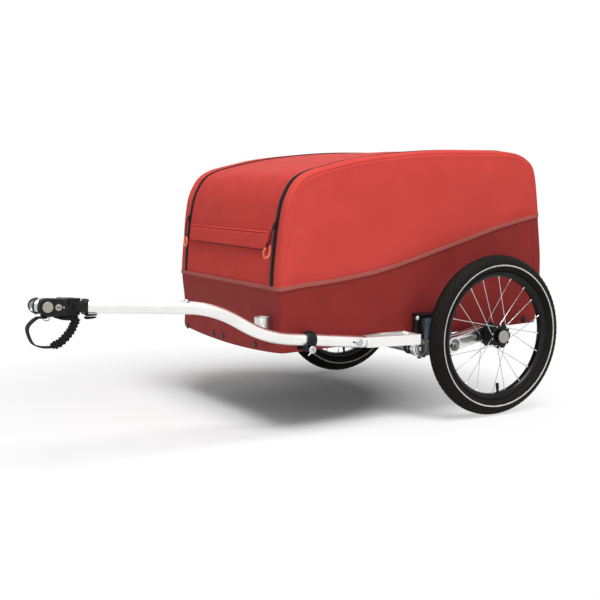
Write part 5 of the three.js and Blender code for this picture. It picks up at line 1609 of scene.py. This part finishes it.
def cradle():
    """The housing round the socket tube. As the angle goes round, its section is
    y = 10 + 13 * cos^0.35 towards the side cover and 10 + 1.5 * cos away from it, and
    z = 17 * sin^0.8. Towards the mouth its height falls like an ellipse's."""
    x = np.concatenate([[56, 56.4, 57.5], np.linspace(60, 100, 12), [103.2, 104.6, 105]])
    grow = np.array([0, 0.94, 0.985] + [1] * 12 + [0.985, 0.94, 0])
    turn = np.linspace(0, 2 * math.pi, 48, endpoint=False)
    y = 10 + np.where(np.cos(turn) > 0, 13 * np.abs(np.cos(turn)) ** 0.35, 1.5 * np.cos(turn))
    z = 17 * np.sign(np.sin(turn)) * np.abs(np.sin(turn)) ** 0.8
    ring = np.stack([y, z], 1)
    middle = np.array([16.0, 0.0])
    ring = middle + (ring[None] - middle) * grow[:, None, None]
    back = np.clip((x - 88) / 17, 0, 1)[:, None]
    z_scale = np.sqrt(1 - back ** 2 * 0.9)
    along = np.broadcast_to(x[:, None], ring.shape[:2])
    return grid(np.stack([along, ring[..., 0], ring[..., 1] * z_scale], -1), wrap_columns=True)


piece("hitch_body", at_hitch(web_part, cradle()), glass_nylon, "hitch_head", "black_plastic",
      ["hitch_housing"])
piece("hitch_rivet", at_hitch(turned([(0, 27.2), (1.6, 27.1), (2.6, 26.2), (2.6, 25), (0, 25)],
                                     [54.2, 0, 0], count=4)), zinc_steel,
      "hitch_head", "steel")

# %% Socket tube and mouth ring
NOSE, NOSE_START = 18, 90


def cut_round(part):
    """Seen from the side, the tube's mouth is a round nose. Past its start, a point moves back by
    nose - sqrt(nose^2 - height^2), so the mouth is cut along a level cylinder."""
    points, faces, pattern = part
    back = NOSE - np.sqrt(NOSE ** 2 - np.clip(points[:, 2], -17.5, 17.5) ** 2)
    shift = np.where(points[:, 0] > NOSE_START, back, 0)
    return points - shift[:, None] * [1, 0, 0], faces, pattern


tube_corners = [(0, 61.3), (12.8, 61.3), (12.8, 112.4), (15.9, 112.4), (15.9, 58.5), (0, 58.5)]
socket = cut_round(lathe(tube_corners, 0.5, [0, 0, 0], (1, 0, 0), 64))
piece("hitch_socket_tube", at_hitch(socket), stainless, "hitch_head", "steel", ["hitch_socket"])
mouth_corners = [(12.9, 111.6), (12.9, 114.5), (16.6, 114.6), (17, 113.9), (17, 111.6), (12.9, 111.6)]
mouth = cut_round(lathe(mouth_corners, 0.4, [0, 0, 0], (1, 0, 0), 64))
piece("hitch_mouth_ring", at_hitch(mouth), glass_nylon, "hitch_head", "black_plastic",
      ["mouth_ring"])

# %% Button and key lock
button = lathe([(0, 25.5), (11, 25.5), (11, 27.2), (10, 28.1), (5, 28.3), (0, 28.3)], 0.5,
               [BUTTON_X, 0, 0], count=56)
piece("hitch_release_button", at_hitch(button), grey_button_paint, "hitch_button", "button_grey",
      ["hitch_button"])
bezel = lathe([(11.5, 25), (11.5, 26.9), (13.6, 26.9), (14.2, 25.8), (14.2, 25), (11.5, 25)], 0.4,
              [BUTTON_X, 0, 0], count=56)
lock_bezel = lathe([(7.4, 25), (7.4, 26.8), (8.6, 26.8), (9, 26), (9, 25), (7.4, 25)], 0.3,
                   [LOCK_X, 0, 0], count=40)
piece("hitch_bezels", at_hitch(bezel, lock_bezel), powder_coat, "hitch_head", "black_plastic")
lock_face = plate("key_lock_face", [circle(6.9, 32, [LOCK_X, 0]),
                                    np.array([[61.4, -0.8], [68.6, -0.8], [68.6, 0.8], [61.4, 0.8]])],
                  24.6, 26.3, edge=0.3, place=tipped_points)
piece("key_lock_plate", lock_face, grey_button_paint, "key_lock", "button_grey")
lock_back = turned([(0, 24.9), (6.7, 24.9), (6.7, 21.4), (0, 21.4)], [LOCK_X, 0, 0], count=32)
piece("key_lock_barrel", at_hitch(lock_back), powder_coat, "key_lock", "black_plastic",
      ["key_lock"])

# %% [markdown]
# ### Safety strap
#
# A loop of webbing hangs under the hitch. Its front is flat webbing. Its back is a tube of cloth
# gathered over elastic, so it ruffles: its width and thickness swell and shrink along it.

# %% Safety strap
strap_top = np.array([102.0, -23.1])
thin_knots = np.array([[-0.25, 0], [-0.05, 0], [0.14, -0.22], [0.19, -0.45], [0.06, -0.86],
                       [-0.16, -1], [-0.45, -1]]) * [85, 59] + strap_top
gather_knots = np.array([[-0.40, -0.98], [-0.62, -0.84], [-0.84, -0.48], [-0.96, -0.1],
                         [-1, 0.1]]) * [85, 59] + strap_top


def strap_part(knots, ring, grow):
    """A ring carried along a line of the hitch's plane, its first direction across the strap."""
    line = spline(knots, len(grow))
    line[:, 1] = np.minimum(line[:, 1], -23.3)
    grow[[0, -1]] = 0
    return at_hitch(sweep(in_plane(line, 0), ring, grow=grow))


thin = strap_part(thin_knots, round_box(20.4, 2.8, 1.2, 3), np.ones((90, 2)))
piece("safety_strap_webbing", thin, webbing, "hitch_head", "web", ["safety_strap"])
t = np.linspace(0, 1, 150)
gather_shape = np.clip(np.minimum(t, 1 - t) / 0.09, 0, 1) ** 0.5
ruffle = 0.5 + 0.5 * np.sin(2 * math.pi * 11 * t + 0.9 * np.sin(9 * t))
across_grow = (0.88 + 0.15 * ruffle) * (0.75 + 0.25 * gather_shape)
thick_grow = (0.76 + 0.24 * ruffle) * (0.35 + 0.65 * gather_shape)
points, faces, pattern = strap_part(gather_knots, round_box(19.6, 17.0, 6.4, 5),
                                    np.stack([across_grow, thick_grow], 1))
puckers = np.sin(points[:, 1] * 2.1 + points[:, 2] * 0.4) * 0.2
gathered = (points + np.stack([puckers, 0 * puckers, 0.4 * puckers], 1), faces, pattern)
piece("safety_strap_elastic", gathered, elastic, "hitch_head", "web")
tail_line = np.array([[15.5, 0, -19.3], [30, 0, -19.4], [60, 0, -19.4], [94.5, 0, -19.3]])
tail = sweep(even(tail_line, 24), round_box(19.6, 3.4, 1.4, 3),
             grow=[0, 0.9] + [1] * 20 + [0.9, 0])
piece("safety_strap_tail", at_hitch(tail), webbing, "hitch_head", "web", ["strap_tail"])
fold_line = np.array([[14.6, 0, -24.0], [24, 0, -24.8], [40, 0, -24.6], [54, 0, -23.6], [66, 0, -22.4]])
fold = sweep(even(fold_line, 24), round_box(18.4, 6.6, 2.6, 4),
             grow=[0, 0.9] + [1] * 14 + [0.95, 0.88, 0.8, 0.7, 0.58, 0.46, 0.34, 0])
piece("safety_strap_fold", at_hitch(fold), webbing, "hitch_head", "web")
end_taper = np.stack([np.concatenate([[0, 0.8], np.linspace(1, 0.7, 20), [0.55, 0]]),
                      np.concatenate([[0, 0.85], np.linspace(1, 0.5, 20), [0.3, 0]])], 1)
loose = []
for drop, rise, length, thick in ((-16.7, 0.6, 27, 4.2), (-22.8, 1.8, 25, 5.2)):
    run = np.linspace(0, 1, 24)
    path = np.stack([1.6 - length * run, 0 * run, drop - 0.8 * np.sin(math.pi * run)
                     + rise * run], 1)
    loose.append(at_hitch(sweep(path, round_box(15, thick, 1.6, 3), grow=end_taper)))
piece("strap_loose_ends", loose, webbing, "trailer", "web")
turn = np.linspace(0, 2 * math.pi, 40, endpoint=False)
d_ring = np.stack([79 + 6.5 * np.cos(turn), 0 * turn - 4, -26.4 + 3.6 * np.sin(turn)], 1)
piece("strap_d_ring", at_hitch(sweep(d_ring, circle(1.25, 8), wrap=True)), zinc_steel,
      "hitch_head", "steel")

# %% [markdown]
# ## The frame inside, and what stays from CAD
#
# The two hoops are bent tubes, so they are drawn smooth. Rails, cross members, stays, pins and
# the floor board are right as they come from CAD, and get their real finishes.

# %% Hoops
HOOP_START, HOOP_DEPTH, HOOP_FOOT, HOOP_Y = 186, 14.0, 234.3, 254.0
hoop_axis = (tube_line - outward * HOOP_DEPTH)[HOOP_START:]
hoop_axis = hoop_axis[hoop_axis[:, 1] > 243]
hoop_axis = np.concatenate([[[hoop_axis[0, 0], HOOP_FOOT]], hoop_axis[::6],
                            [[hoop_axis[-1, 0], HOOP_FOOT]]])
hoop_path = in_plane(even(hoop_axis, 120), HOOP_Y)
both_sides("@_hoop_tube", capped(hoop_path, circle(7.6, 18), 7.6, edge=0.5), mill_aluminium,
           "trailer", "frame_silver", ["@_hoop"])

# %% Finishes for the CAD nodes that stay
stays = {
    mill_aluminium: ["left_side_rail", "right_side_rail", "front_cross_member",
                     "rear_cross_member", "front_stay", "rear_stay", "cross_tube"],
    floor_board: ["floor_panel"],
    stainless: ["cross_pin", "yaw_stud"],
}
for material, names in stays.items():
    for name in names:
        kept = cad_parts[name]
        kept.data.materials.clear()
        kept.data.materials.append(material)
print("CAD nodes kept:", sum(len(n) for n in stays.values()))
